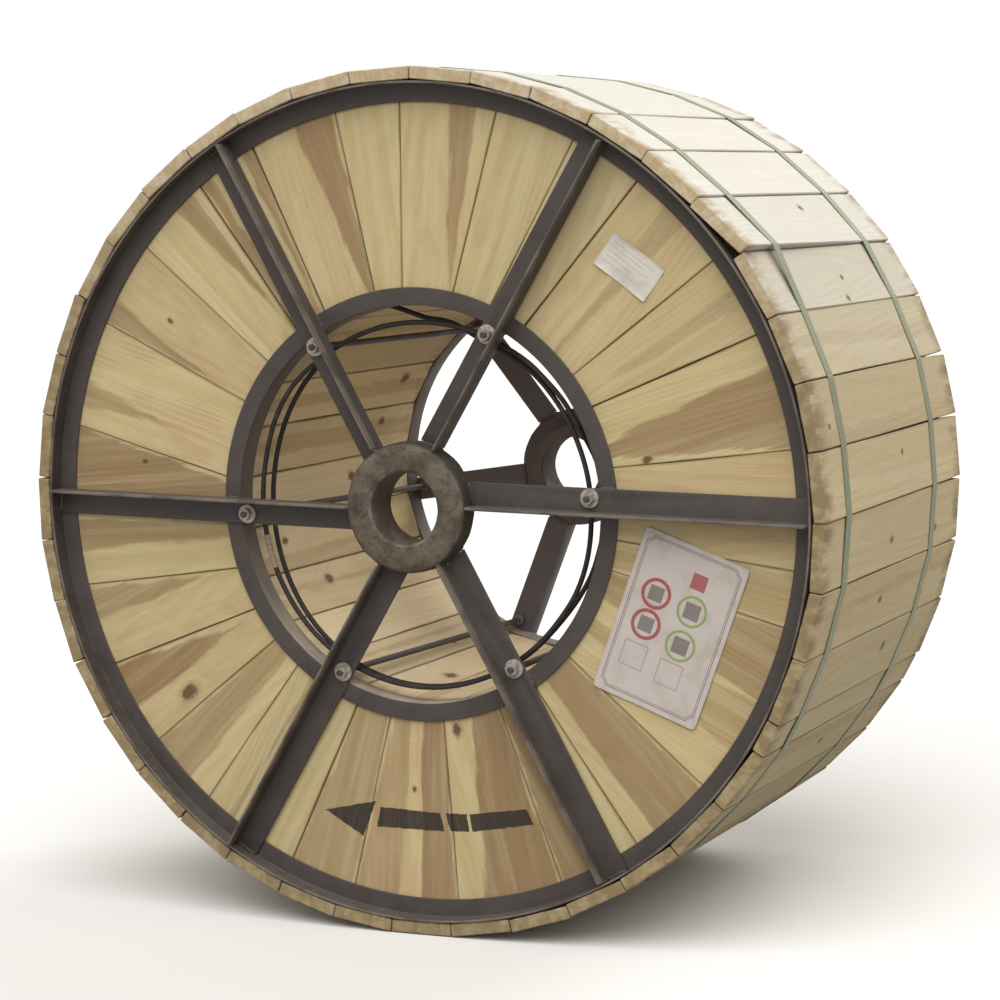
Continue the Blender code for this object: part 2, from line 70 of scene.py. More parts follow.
GAP = 0.0003
RIM_FLAT = 0.0313
RING_FLAT = 0.028
ANGLE_WALL = 0.0037
ROLLED_EASE = 0.0014         # of the corners of rolled angle
OUT_OF_TRUE = 0.0004         # how far rim and ring wander
RING_STEPS = 192
FLAT_DEPTH = 0.030
PLANK_FRONT = 0.034
PLANK_BACK = 0.070
RING_RADIUS = RING_OUTSIDE - RING_FLAT
BOARD_SEAT = RIM_RADIUS + GAP
BOARD_THICKNESS = 0.0195
STAVE_THICKNESS = 0.020
STAVE_GAP = 0.0007
NOTCH_ANGLE = 105.7          # of the stave that is short at the front, for the cable
NOTCH_DEPTH = 0.026
SPOKE_COUNT = 6
SPOKE_BACK = 0.0297
SPOKE_FACE = 0.0257
SPOKE_OUTSTAND = 0.040       # how far the angle iron's other leg stands out from its back
SPOKE_EASE = 0.0009
BEAD_STEP = 0.0016
BEAD_RIPPLE = 0.0042
WIDE_BEAD, BEAD, NARROW_BEAD = 0.0034, 0.0030, 0.0026
ROD_RADIUS = 0.005
ROD_CIRCLE = 0.297
THREAD_PITCH = 0.0015
THREAD_DEPTH = 0.0006
THREAD_PAST_NUT = 0.016      # how far the thread runs on past the inner nut
NUT_FLATS = 0.017
NUT_HEIGHT = 0.009
NUT_CHAMFER = 0.0011
NUT_SIDES = 24
WASHER_RADIUS = 0.015
WASHER_THICKNESS = 0.003
WASHER_EASE = 0.0004
WASHER_SIDES = 40
HUB_BORE = 0.0545
HUB_STANDOUT = 0.013
HUB_MOUTH_EASE = 0.0085
HUB_STEPS = 200
HUB_STEP_LENGTH = 0.0035
SLEEVE_RADIUS = 0.075
SLEEVE_DEPTH = 0.057
CABLE_RADIUS = 0.004
STRAP_WIDTH = 0.025
STRAP_THICKNESS = 0.001
CARD_SIZE = (0.175, 0.263)
LABEL_SIZE = (0.099, 0.058)

rng = random.Random(46)
noise.seed_set(46)


def srgb(red, green, blue):
    """A display colour of 0 to 255 as a linear one."""
    levels = [c / 255 for c in (red, green, blue)]
    return tuple(c / 12.92 if c < 0.04045 else ((c + 0.055) / 1.055) ** 2.4 for c in levels)


def lighter(colour, factor):
    return tuple(c * factor for c in colour)


def flat(radius, angle):
    """A point round the axle in the plane of a flange."""
    turn = math.radians(angle)
    return Vector((radius * math.cos(turn), radius * math.sin(turn)))


def at(radius, angle, y):
    """A point round the axle, as seen from the front."""
    x, up = flat(radius, angle)
    return Vector((x, y, AXIS_HEIGHT + up))


def on(side, radius, angle, depth):
    """A point on a flange, as seen by someone facing it."""
    x, up = flat(radius, angle)
    return Vector((side.sign * x, side.plane + side.sign * depth, AXIS_HEIGHT + up))


def smooth_step(t):
    t = min(max(t, 0.0), 1.0)
    return t * t * (3.0 - 2.0 * t)


# ---------------------------------------------------------------- camera, light and floor

CAMERA_AZIMUTH = 24.613
CAMERA_ELEVATION = 6.612
CAMERA_ROLL = 1.8
CAMERA_DISTANCE = 4.7493
CAMERA_LENS = 103.03
CAMERA_SENSOR = 36
CAMERA_TARGET = (-0.00744, 0.0, -0.02612)    # from the middle of the drum's axis


def make_camera():
    """The camera stands to the right of the front flange, a little above the axle, and leans."""
    azimuth, elevation = math.radians(CAMERA_AZIMUTH), math.radians(CAMERA_ELEVATION)
    back = Vector((math.sin(azimuth) * math.cos(elevation), -math.cos(azimuth) * math.cos(elevation),
                   math.sin(elevation)))
    right = Vector((math.cos(azimuth), math.sin(azimuth), 0.0))
    pose = Matrix((right, back.cross(right), back)).transposed().to_4x4()
    pose.translation = Vector(CAMERA_TARGET) + back * CAMERA_DISTANCE
    data = bpy.data.cameras.new("camera")
    data.lens = CAMERA_LENS
    data.sensor_width = CAMERA_SENSOR
    camera = bpy.data.objects.new("camera", data)
    middle = Vector((0.0, (BOARDS_LOW.y + BOARDS_HIGH.y) / 2, AXIS_HEIGHT))
    roll = Matrix.Rotation(math.radians(CAMERA_ROLL), 4, "Y")
    camera.matrix_world = Matrix.Translation(middle) @ roll @ pose
    bpy.context.scene.collection.objects.link(camera)
    bpy.context.scene.camera = camera


# Lamps: strength, how wide each looks in degrees, colour, and the direction it stands in.
LAMPS = (
    ("front_lamp", 2.45, 55.0, (1.0, 1.0, 0.98), (0.16, -0.55, 0.80)),
    ("back_lamp", 1.28, 35.0, (1.0, 0.99, 0.96), (0.40, 0.72, 0.55)),
    ("low_lamp", 0.5, 60.0, (1.0, 0.98, 0.95), (0.45, -0.85, 0.15)),
)
SKY_COLOUR = (1.0, 0.95, 0.87, 1.0)
SKY_STRENGTH = 0.45
WHITE = (1.0, 1.0, 1.0, 1.0)
FLOOR_SEEN = (0.84, 0.84, 0.84, 1.0)
FLOOR_LIT = (0.30, 0.29, 0.27, 1.0)
FLOOR_REACH = 30.0


def make_light():
    """An even pale sky that looks white, a very soft lamp high in front, and two weaker ones."""
    g = Graph("sky", bpy.data.worlds)
    bpy.context.scene.world = g.owner
    g.nodes.remove(g.nodes["Background"])
    sky = g.put("Background", {"Color": SKY_COLOUR, "Strength": SKY_STRENGTH})
    white = g.put("Background", {"Color": WHITE, "Strength": 1.0})
    g.put_out(g.put("MixShader", {0: g.seen(), 1: sky, 2: white}), "World Output")
    for name, strength, spread, colour, source in LAMPS:
        lamp = bpy.data.lights.new(name, "SUN")
        lamp.energy = strength
        lamp.angle = math.radians(spread)
        lamp.color = colour
        holder = bpy.data.objects.new(name, lamp)
        holder.rotation_euler = Vector(source).to_track_quat("Z", "Y").to_euler()
        bpy.context.scene.collection.objects.link(holder)


def make_floor():
    """A floor that is pale to the eye and in reflections, and duller where it lights the reel."""
    mesh = bpy.data.meshes.new("floor")
    corners = [(x * FLOOR_REACH, y * FLOOR_REACH, 0.0)
               for x, y in ((-1, -1), (1, -1), (1, 1), (-1, 1))]
    mesh.from_pydata(corners, [], [(0, 1, 2, 3)])
    floor = bpy.data.objects.new("floor", mesh)
    bpy.context.scene.collection.objects.link(floor)
    g = Graph("floor")
    pale = g.put("BsdfDiffuse", {"Color": FLOOR_SEEN})
    dull = g.put("BsdfDiffuse", {"Color": FLOOR_LIT})
    g.put_out(g.put("MixShader", {0: g.seen(), 1: dull, 2: pale}), "Material Output")
    mesh.materials.append(g.owner)


# ---------------------------------------------------------------- materials

class Field:
    """What a node puts out. Arithmetic with numbers, tuples and other fields adds nodes."""

    def __init__(self, graph, socket):
        self.graph, self.socket = graph, socket

    def combine(self, operation, first, second=0.0):
        kind = "VectorMath" if tuple in (type(first), type(second)) else "Math"
        return self.graph.put(kind, {0: first, 1: second}, operation=operation)

    def __add__(self, other):
        return self.combine("ADD", self, other)

    def __sub__(self, other):
        return self.combine("SUBTRACT", self, other)

    def __rsub__(self, other):
        return self.combine("SUBTRACT", other, self)

    def __mul__(self, other):
        return self.combine("MULTIPLY", self, other)

    def __truediv__(self, other):
        return self.combine("DIVIDE", self, other)

    def __abs__(self):
        return self.combine("ABSOLUTE", self)

    __radd__, __rmul__ = __add__, __mul__


class Graph:
    """The nodes of a material, or of the world, with short calls for them."""

    def __init__(self, name, owners=bpy.data.materials):
        self.owner = owners.new(name)
        self.owner.use_nodes = True
        self.nodes = self.owner.node_tree.nodes
        self.links = self.owner.node_tree.links

    def put(self, kind, inputs, output=0, **settings):
        node = self.nodes.new("ShaderNode" + kind)
        for key, value in settings.items():
            setattr(node, key, value)
        for key, value in inputs.items():
            self.feed(node.inputs[key], value)
        return Field(self, node.outputs[output])

    def feed(self, place, value):
        if isinstance(value, Field):
            self.links.new(value.socket, place)
        else:
            place.default_value = value

    def put_out(self, surface, output_node):
        self.links.new(surface.socket, self.nodes[output_node].inputs["Surface"])

    def seen(self):
        """1 along rays from the eye, straight, mirrored or through glass, and 0 along light rays."""
        return self.most(*(self.put("LightPath", {}, f"Is {kind} Ray")
                           for kind in ("Camera", "Glossy", "Transmission")))

    def math(self, operation, a, b=0.0):
        return self.put("Math", {0: a, 1: b}, operation=operation)

    def least(self, first, *others):
        for other in others:
            first = self.math("MINIMUM", first, other)
        return first

    def most(self, first, *others):
        for other in others:
            first = self.math("MAXIMUM", first, other)
        return first

    def step(self, value, low, high, start=0.0, stop=1.0):
        """Goes smoothly from start to stop as value goes from low to high."""
        inputs = {"Value": value, "From Min": low, "From Max": high, "To Min": start, "To Max": stop}
        return self.put("MapRange", inputs, interpolation_type="SMOOTHSTEP")

    def length(self, vector):
        return self.put("VectorMath", {0: vector}, "Value", operation="LENGTH")

    def dot(self, a, b):
        return self.put("VectorMath", {0: a, 1: b}, "Value", operation="DOT_PRODUCT")

    def noise(self, vector, scale=1.0, detail=2.0, roughness=0.5):
        return self.put("TexNoise", {"Vector": vector, "Scale": scale, "Detail": detail,
                                     "Roughness": roughness})

    def cells(self, vector, scale):
        return self.put("TexVoronoi", {"Vector": vector, "Scale": scale})

    def attribute(self, name):
        return self.put("Attribute", {}, "Vector", attribute_name=name)

    def place(self):
        return self.put("TexCoord", {}, "Object")

    def normal(self):
        """The three parts of the surface's direction."""
        return self.split(self.put("NewGeometry", {}, "Normal"))

    def split(self, vector):
        node = self.put("SeparateXYZ", {0: vector}).socket.node
        return [Field(self, socket) for socket in node.outputs]

    def join(self, x, y):
        return self.put("CombineXYZ", {0: x, 1: y})

    def from_axle(self, place):
        """The distance from the drum's axis."""
        return self.length((place - tuple(AXLE)) * (1.0, 0.0, 1.0))

    def facing_in(self, place, amount):
        """The amount on faces that look into the drum, and 0 on the others."""
        return self.step(self.split(place)[1] * self.normal()[1], -0.26, -0.12, amount, 0.0)

    def mix(self, factor, a, b):
        colours = [c if isinstance(c, Field) else (*c, 1.0) for c in (a, b)]
        return self.put("Mix", {0: factor, 6: colours[0], 7: colours[1]}, 2, data_type="RGBA")

    def brighten(self, colour, factor):
        return self.put("VectorMath", {0: colour, 3: factor}, operation="SCALE")

    def finish(self, colour, roughness, height, relief, strength, **settings):
        """Links what varies to the shader, and sets what doesn't on its own sockets."""
        bump = self.put("Bump", {"Height": height, "Distance": relief, "Strength": strength})
        inputs = self.nodes["Principled BSDF"].inputs
        self.feed(inputs["Base Color"], colour)
        self.feed(inputs["Roughness"], roughness)
        self.feed(inputs["Normal"], bump)
        for name, value in settings.items():
            inputs[name.replace("_", " ")].default_value = value
        return self.owner


Wood = namedtuple("Wood", "sap warm blush heart knot dirt stain cut pale fibre streak ring "
                          "ring_width edge end")
BLEACHED_LIT_STAIN = 2.1         # how much paler the stained ends of bleached, top-lit boards are
BLEACHED_LIT_CUT = 2.0           # and their sawn faces; sun-bleaching, and painted light from above


def timber(name, wood, paint=None):
    """Sawn boards: growth rings, fibres, heartwood, knots, dirty edges and stained ends."""
    g = Graph(name)
    grain = g.attribute("grain")
    shade_and_light, bleach_and_top_light = g.split(g.attribute("tone"))[:2]
    side_a, side_b, near_end = g.split(g.attribute("edges"))
    chance, cap, far_end = g.split(g.attribute("board"))

    sway = g.noise(grain * (2.6, 17.0, 17.0), detail=3.0)
    fibre = g.noise(grain * (12.0, 480.0, 300.0), detail=3.0, roughness=0.6)
    streak = g.noise(grain * (1.7, 44.0, 34.0), detail=4.0, roughness=0.6)
    blotch = g.noise(grain * (7.0, 16.0, 16.0), detail=4.0, roughness=0.6)
    ragged = g.noise(grain * (8.0, 48.0, 40.0), detail=4.0, roughness=0.65)
    spots = g.noise(grain * (60.0, 110.0, 90.0), detail=4.0, roughness=0.65)

    from_pith = g.length(g.attribute("growth")) + (sway - 0.5) * 0.020
    knots = []
    for knot_name in ("knot_a", "knot_b"):
        across, along, size = g.split(g.attribute(knot_name))
        size = g.most(size, 0.0001)
        reach = g.length(g.join(across, along * 0.66)) / size + (spots - 0.5) * 1.5
        from_pith += g.step(reach, 0.8, 3.0, 1.0, 0.0) * (size * 0.6)
        knots.append(reach)
    phase = g.math("FRACT", from_pith * (1.0 / wood.ring_width))
    late = g.step(phase, 0.1, 0.8) * g.step(phase, 0.8, 1.0, 1.0, 0.0) * g.step(blotch, 0.36, 0.62)

    colour = g.mix(g.step(streak, 0.34, 0.68), wood.sap, wood.warm)
    blushing = g.step(chance, 0.45, 1.0, 0.0, 0.6) * g.step(blotch, 0.35, 0.65)
    colour = g.mix(blushing, colour, wood.blush)
    zones = []
    for zone in ("heart_a", "heart_b"):
        one, other, strength = g.split(g.attribute(zone))
        depth = g.least(one, other) + (ragged - 0.5) * 0.030
        zones.append(g.step(depth, -0.002, 0.005) * strength)
    colour = g.mix(g.most(*zones) * g.step(streak, 0.25, 0.6, 0.62, 1.0), colour, wood.heart)

    # Board tone and bleaching to the pale colour; on the lagging, both carry painted light too.
    value = (1.0 + (fibre - 0.5) * wood.fibre + (streak - 0.5) * wood.streak - late * wood.ring
             + (blotch - 0.5) * 0.16 + shade_and_light)
    colour = g.brighten(g.mix(bleach_and_top_light, colour, wood.pale), value)

    edge = g.least(side_a, side_b) + (blotch - 0.5) * 0.006
    dirty = g.step(edge, 0.0, 0.0032, wood.edge, 0.0) * (1.0 - bleach_and_top_light * 0.6)
    colour = g.mix(dirty, colour, wood.dirt)
    end = g.least(near_end, far_end) + (blotch - 0.5) * 0.11
    stained = g.step(end, 0.0, 0.055, 1.0, 0.0) * g.step(ragged, 0.35, 0.6, 0.0, wood.end)
    colour = g.mix(stained, colour, g.mix(bleach_and_top_light, wood.stain, lighter(wood.stain, BLEACHED_LIT_STAIN)))
    colour = g.mix(cap * 0.55, colour, g.mix(bleach_and_top_light, wood.cut, lighter(wood.cut, BLEACHED_LIT_CUT)))
    for reach in knots:
        colour = g.mix(g.step(reach, 0.9, 1.7, 0.40, 0.0), colour, wood.heart)
        colour = g.mix(g.step(reach, 0.6, 1.05, 0.85, 0.0), colour, wood.knot)
    if paint:
        colour = paint(g, colour, fibre)

    saw = g.noise(grain * (260.0, 9.0, 9.0), detail=1.0)
    height = fibre * 0.55 + late * 0.3 + saw * 0.35
    return g.finish(colour, fibre * 0.2 + 0.70, height, 0.0011, 0.8, Specular_IOR_Level=0.28)


FLANGE_WOOD = Wood(
    sap=srgb(204, 188, 146), warm=srgb(189, 170, 126), blush=srgb(186, 158, 122),
    heart=srgb(140, 112, 82), knot=srgb(94, 60, 48), dirt=srgb(92, 72, 48),
    stain=srgb(136, 112, 80), cut=srgb(176, 152, 110), pale=srgb(200, 190, 160), fibre=0.13,
    streak=0.20, ring=0.085, ring_width=0.0085, edge=0.55, end=0.30)
# The staves are paler than the flange planks: partly their own colour, partly painted light inside
# the barrel.
BARREL_WOOD = Wood(
    sap=srgb(240, 224, 190), warm=srgb(230, 210, 170), blush=srgb(224, 200, 158),
    heart=srgb(186, 158, 118), knot=srgb(116, 86, 62), dirt=srgb(118, 94, 66),
    stain=srgb(168, 142, 104), cut=srgb(196, 170, 128), pale=srgb(214, 200, 170), fibre=0.12,
    streak=0.18, ring=0.07, ring_width=0.0085, edge=0.6, end=0.35)
LAGGING_WOOD = Wood(
    sap=srgb(195, 180, 146), warm=srgb(186, 169, 133), blush=srgb(182, 162, 129),
    heart=srgb(158, 135, 100), knot=srgb(108, 82, 60), dirt=srgb(106, 90, 66),
    stain=srgb(116, 98, 74), cut=srgb(142, 124, 90), pale=srgb(205, 202, 193), fibre=0.10,
    streak=0.12, ring=0.05, ring_width=0.0090, edge=0.5, end=0.8)

# The painted arrow that shows which way to roll: convex parts, their corners by angle and radius.
ARROW_PARTS = (
    ((249.8, 0.523), (258.0, 0.542), (259.4, 0.480)),
    ((260.2, 0.5215), (273.5, 0.515), (272.9, 0.485), (260.5, 0.4875)),
    ((274.6, 0.5145), (278.3, 0.5170), (278.3, 0.4880), (273.9, 0.4845)),
    ((278.8, 0.5175), (290.6, 0.5265), (290.3, 0.4995), (278.8, 0.4885)),
)
ARROW_COLOUR = srgb(50, 45, 42)



def arrow_paint(g, colour, fibre):
    """Stencilled paint that lets a little grain through, and is ragged at its edges."""
    place = g.place()
    ragged = (g.noise(place, 90.0, 3.0) - 0.5) * 0.004
    covered = []
    for part in ARROW_PARTS:
        corners = [at(radius, angle, 0.0) for angle, radius in part]
        middle = sum(corners, Vector()) / len(corners)
        depths = []
        for i, corner in enumerate(corners):
            run = (corner - corners[i - 1]).normalized()
            normal = Vector((-run.z, 0.0, run.x))
            if normal.dot(middle - corner) < 0:
                normal = -normal
            depths.append(g.dot(place, tuple(normal)) - normal.dot(corner))
        covered.append(g.step(g.least(*depths) + ragged, -0.0004, 0.0012))
    return g.mix(g.most(*covered) * g.step(fibre, 0.4, 0.75, 0.98, 0.88), colour, ARROW_COLOUR)


STEEL_COLOUR = (0.042, 0.035, 0.032)


def dark_steel():
    """Mill-scaled steel: cloudy, worn brighter in specks, paler on upper faces from dust and painted
    light.
    """
    g = Graph("dark_steel_finish")
    place = g.place()
    cloud = g.noise(place, 16.0, 5.0, 0.6)
    fine = g.noise(place, 210.0, 3.0, 0.6)
    speck = g.noise(place, 75.0, 4.0, 0.7)
    up = g.step(g.normal()[2], 0.1, 0.9)
    colour = g.mix(g.step(cloud, 0.3, 0.72), STEEL_COLOUR, lighter(STEEL_COLOUR, 1.55))
    colour = g.mix(g.step(speck, 0.60, 0.74, 0.0, 0.22), colour, srgb(112, 78, 56))
    # Paler on faces that turn up: settled dust, and painted light from above.
    dust_and_top_light = (up * 0.75 + 0.12) * g.step(speck, 0.30, 0.66, 0.45, 1.0)
    colour = g.mix(dust_and_top_light * 0.34, colour, srgb(126, 115, 106))
    y = g.split(place)[1]
    depth = g.least(y - FRONT.plane, REAR.plane - y)
    # Lighter by each flange's outer plane, at the edges of lips and legs: wear, and painted
    # highlight.
    outer = g.step(depth, 0.0015, 0.0045, 1.0, 0.0) * g.step(cloud, 0.36, 0.62, 0.15, 0.60)
    colour = g.mix(outer, colour, srgb(128, 118, 107))
    radius = g.from_axle(place)
    # The inner ring's lip is paler, most where it faces up: dust, and painted light from above.
    ring_lip = (g.step(radius, RING_RADIUS + 0.0012, RING_RADIUS + 0.0024, 1.0, 0.0)
                * g.step(radius, RING_RADIUS - 0.0030, RING_RADIUS - 0.0015)
                * g.step(depth, FLAT_DEPTH + 0.0008, FLAT_DEPTH + 0.0022))
    lip_dust_and_top_light = g.mix(up, srgb(104, 92, 82), srgb(174, 162, 146))
    colour = g.mix(ring_lip * g.step(cloud, 0.3, 0.65, 0.50, 0.92), colour, lip_dust_and_top_light)
    # Faces that look into the drum are lighter and bluer: painted light where little light reaches
    # in.
    colour = g.mix(g.facing_in(place, 0.78), colour, srgb(122, 118, 130))
    colour = g.mix(g.step(fine, 0.66, 0.78, 0.0, 0.30), colour, srgb(122, 112, 104))
    rough = g.step(cloud, 0.3, 0.7, 0.46, 0.62) + dust_and_top_light * 0.2
    height = fine * 0.35 + speck * 0.65
    return g.finish(colour, rough, height, 0.0006, 0.6, Specular_IOR_Level=0.32)


def hub_steel():
    """The bushings: rough, dirty, brown-grey, with pits, scraped ridges, and a mouth made lighter by
    wear and a painted highlight.
    """
    g = Graph("hub_steel")
    place = g.place()
    cloud = g.noise(place, 34.0, 5.0, 0.65)
    pits = g.cells(place + (0.2, 0.1, 0.4), 190.0)
    fine = g.noise(place, 320.0, 3.0, 0.6)
    scrape = g.noise(place * (60.0, 260.0, 60.0), detail=3.0)
    colour = g.mix(g.step(cloud, 0.32, 0.70), srgb(66, 57, 49), srgb(108, 98, 86))
    colour = g.mix(g.step(fine, 0.58, 0.75, 0.0, 0.55), colour, srgb(136, 126, 112))
    colour = g.mix(g.step(scrape, 0.30, 0.42, 0.6, 0.0), colour, srgb(50, 42, 36))
    radius = g.from_axle(place)
    # Darker on the bore and close round it: painted shade in the hole.
    bore = g.step(radius, HUB_BORE + 0.001, HUB_BORE + 0.010, 0.35, 0.0)
    colour = g.mix(bore, colour, srgb(58, 49, 43))
    # The collar's outer side is darker: darker steel there, and painted shade.
    outside = (g.step(radius, HUB_RADIUS - 0.012, HUB_RADIUS - 0.004)
               * g.step(abs(g.normal()[1]), 0.45, 0.85, 0.85, 0.0))
    colour = g.mix(outside, colour, srgb(56, 49, 47))
    # Faces that look into the drum are lighter and bluer: painted light where little light reaches
    # in.
    colour = g.mix(g.facing_in(place, 0.80), colour, srgb(118, 114, 126))
    # A lighter line round the bore's mouth: wear, and painted highlight.
    mouth = g.step(abs(radius - (HUB_BORE + 0.0045)), 0.0002, 0.0030, 1.0, 0.0)
    colour = g.mix(mouth * g.step(cloud, 0.42, 0.62, 0.0, 0.6), colour, srgb(136, 126, 112))
    height = pits * 0.35 + fine * 0.25 + cloud * 0.6
    return g.finish(colour, g.step(cloud, 0.3, 0.7, 0.62, 0.86), height, 0.0016, 0.85,
                    Specular_IOR_Level=0.3)


def zinc():
    """Dull plated fixings with rust at their edges."""
    g = Graph("zinc_fixings")
    place = g.place()
    cloud = g.noise(place, 120.0, 4.0, 0.65)
    fine = g.noise(place, 600.0, 3.0, 0.6)
    colour = g.mix(g.step(cloud, 0.3, 0.7), srgb(126, 117, 110), srgb(186, 177, 168))
    colour = g.mix(g.step(cloud, 0.58, 0.72, 0.0, 0.6), colour, srgb(98, 78, 64))
    return g.finish(colour, g.step(cloud, 0.3, 0.7, 0.34, 0.60), fine + cloud, 0.0004, 0.5,
                    Metallic=0.4)


def strapping():
    """Green plastic strap with a pressed waffle pattern, and painted light and shade in its colour.
    """
    g = Graph("green_strapping")
    run, across = g.split(g.attribute("run"))[:2]
    waffle = g.math("SINE", (run + across) * 1150.0) * g.math("SINE", (run - across) * 1150.0)
    wear = g.noise(g.join(run * 18.0, across * 60.0), detail=4.0)
    colour = g.mix(g.step(wear, 0.3, 0.7), srgb(88, 96, 64), srgb(116, 120, 84))
    # Paler on faces that turn up: painted light from above.
    colour = g.mix(g.step(g.normal()[2], 0.2, 0.8, 0.0, 0.55), colour, srgb(146, 150, 116))
    # The pressed pattern darkens and lightens the colour: painted light and shade of its relief.
    colour = g.brighten(colour, g.step(waffle, -0.8, 0.8, 0.88, 1.06))
    colour = g.mix(g.step(wear, 0.58, 0.75, 0.0, 0.3), colour, srgb(152, 152, 122))
    return g.finish(colour, g.step(wear, 0.3, 0.7, 0.36, 0.55), waffle, 0.0003, 0.7)


def jacket(name, wound=False):
    """Black cable sheath, faintly dusty. The wound cable shows its turns as ridges, with painted
    shade between them.
    """
    g = Graph(name)
    place = g.place()
    dust = g.noise(place, 45.0, 4.0, 0.6)
    colour = g.mix(g.step(dust, 0.42, 0.75, 0.0, 0.35), srgb(38, 33, 34), srgb(92, 84, 78))
    height, relief = g.noise(place, 500.0, 2.0), 0.0002
    if wound:
        height, relief = g.math("SINE", g.split(place)[1] * (math.pi / CABLE_RADIUS)), 0.004
        # Darker between the turns: painted shade in the grooves.
        colour = g.brighten(colour, g.step(height, -1.0, 0.2, 0.25, 1.0))
    return g.finish(colour, g.step(dust, 0.3, 0.7, 0.54, 0.74), height, relief, 0.8,
                    Specular_IOR_Level=0.3)


def tape():
    """Pale pink cloth tape, wound on."""
    g = Graph("wrapping_tape")
    wraps = g.math("FRACT", g.split(g.attribute("run"))[0] * 95.0)
    weave = g.noise(g.place(), 900.0, 2.0)
    colour = g.mix(g.step(wraps, 0.0, 0.2), srgb(112, 92, 82), srgb(158, 136, 124))
    return g.finish(colour, 0.8, wraps + weave * 0.3, 0.0005, 0.6)


RED = srgb(150, 48, 56)
GREEN = srgb(122, 152, 76)
GREY = srgb(104, 97, 98)
PALE_GREY = srgb(158, 150, 148)
CARD_INK = srgb(112, 106, 104)
RULE_INK = srgb(150, 148, 148)

# What is printed on the card: kind, place across and up, size, line width and colour. A ring has a
# grey block in it, smaller than the ring by a fixed amount.
CARD_PRINTS = (
    ("ring", -0.039, 0.040, 0.0215, 0.0050, RED), ("ring", -0.039, -0.010, 0.0215, 0.0050, RED),
    ("ring", 0.023, 0.036, 0.0225, 0.0036, GREEN), ("ring", 0.023, -0.020, 0.0225, 0.0036, GREEN),
    ("block", 0.019, 0.082, 0.0120, 0.0, RED), ("frame", -0.042, -0.062, 0.0190, 0.0016, PALE_GREY),
    ("frame", 0.020, -0.068, 0.0190, 0.0016, PALE_GREY),
)
BLOCK_IN_RING = 0.010
CARD_BORDERS = ((0.0085, 0.0011), (0.0115, 0.0006))    # how far in, and how wide
BORDER_NOTCH = 0.012
LABEL_RULES = ((0.017, 0.080), (0.010, 0.062), (0.002, 0.074), (-0.006, 0.050), (-0.015, 0.070))
RULES_START = -0.042


def printed(name, paper, grime, size, prints=(), borders=(), rules=()):
    """A sheet with plain shapes printed on it: rings, blocks, frames, border lines and rules."""
    g = Graph(name)
    sheet = g.attribute("sheet")
    u, v = g.split(sheet)[:2]
    cloud = g.noise(sheet * (22.0, 22.0, 0.0), detail=4.0, roughness=0.6)
    fine = g.noise(sheet * (700.0, 700.0, 0.0), detail=2.0)
    faded = g.step(fine, 0.25, 0.6, 0.75, 1.0)
    colour = g.mix(g.step(cloud, 0.42, 0.72, 0.0, 0.55), paper, grime)
    from_sides = [size[0] / 2 - abs(u), size[1] / 2 - abs(v)]
    inset = g.least(*from_sides)
    inset_line = g.least(inset, g.length(g.join(*from_sides)) - BORDER_NOTCH)
    for middle, width in borders:
        line = g.step(abs(inset_line - middle), width / 2, width / 2 + 0.0005, 0.9, 0.0)
        colour = g.mix(line * faded, colour, CARD_INK)
    for kind, across, up, reach, line, ink in prints:
        x, y = u - across, v - up
        square = g.most(abs(x), abs(y))
        if kind == "block":
            marks = [(g.step(square, reach, reach + 0.0006, 0.85, 0.0), ink)]
        else:
            off = abs((g.length(g.join(x, y)) if kind == "ring" else square) - reach)
            marks = [(g.step(off, line / 2, line / 2 + 0.0006, 0.9, 0.0), ink)]
        if kind == "ring":
            inner = reach - BLOCK_IN_RING
            marks.append((g.step(square, inner, inner + 0.0006, 0.85, 0.0), GREY))
        for mask, mark_ink in marks:
            colour = g.mix(mask * faded, colour, mark_ink)
    for middle, width in rules:
        run = g.step(u - RULES_START, width, width + 0.001, 1.0, 0.0)
        run *= g.step(u, RULES_START - 0.001, RULES_START)
        colour = g.mix(g.step(abs(v - middle), 0.0008, 0.0014, 0.32, 0.0) * run, colour, RULE_INK)
    colour = g.mix(g.step(inset, 0.0, 0.003, 0.35, 0.0), colour, grime)
    return g.finish(colour, g.step(cloud, 0.3, 0.7, 0.48, 0.66), cloud + fine * 0.1, 0.0008, 0.4,
                    Specular_IOR_Level=0.3)


# ---------------------------------------------------------------- mesh helpers

def add_mesh(name, bm, material, smooth, slot, *nodes):
    """A piece on the one body that stands for some CAD nodes, with its sharp edges kept sharp."""
    bmesh.ops.recalc_face_normals(bm, faces=bm.faces)
    mesh = bpy.data.meshes.new(name)
    bm.to_mesh(mesh)
    bm.free()
    mesh.materials.append(material)
    if smooth:
        mesh.shade_smooth()
        mesh.set_sharp_from_angle(angle=math.radians(smooth))
    piece = bpy.data.objects.new(name, mesh)
    bpy.context.scene.collection.objects.link(piece)
    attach(piece, "root")
    for node in nodes:
        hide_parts(node)
    return mesh


def write_field(mesh, name, vectors):
    field = mesh.attributes.new(name, "FLOAT_VECTOR", "POINT")
    field.data.foreach_set("vector", [value for vector in vectors for value in vector])


def rounded(profile, eases):
    """A closed profile with each corner replaced by an arc of its own ease."""
    points = []
    for i, (corner, ease) in enumerate(zip(profile, eases)):
        corner = Vector(corner)
        into = Vector(profile[i - 1]) - corner
        away = Vector(profile[(i + 1) % len(profile)]) - corner
        start = corner + into.normalized() * min(ease, into.length * 0.45)
        stop = corner + away.normalized() * min(ease, away.length * 0.45)
        points += [start * (1 - t) ** 2 + corner * 2 * t * (1 - t) + stop * t ** 2
                   for t in (0.0, 0.25, 0.5, 0.75, 1.0)]
    return points


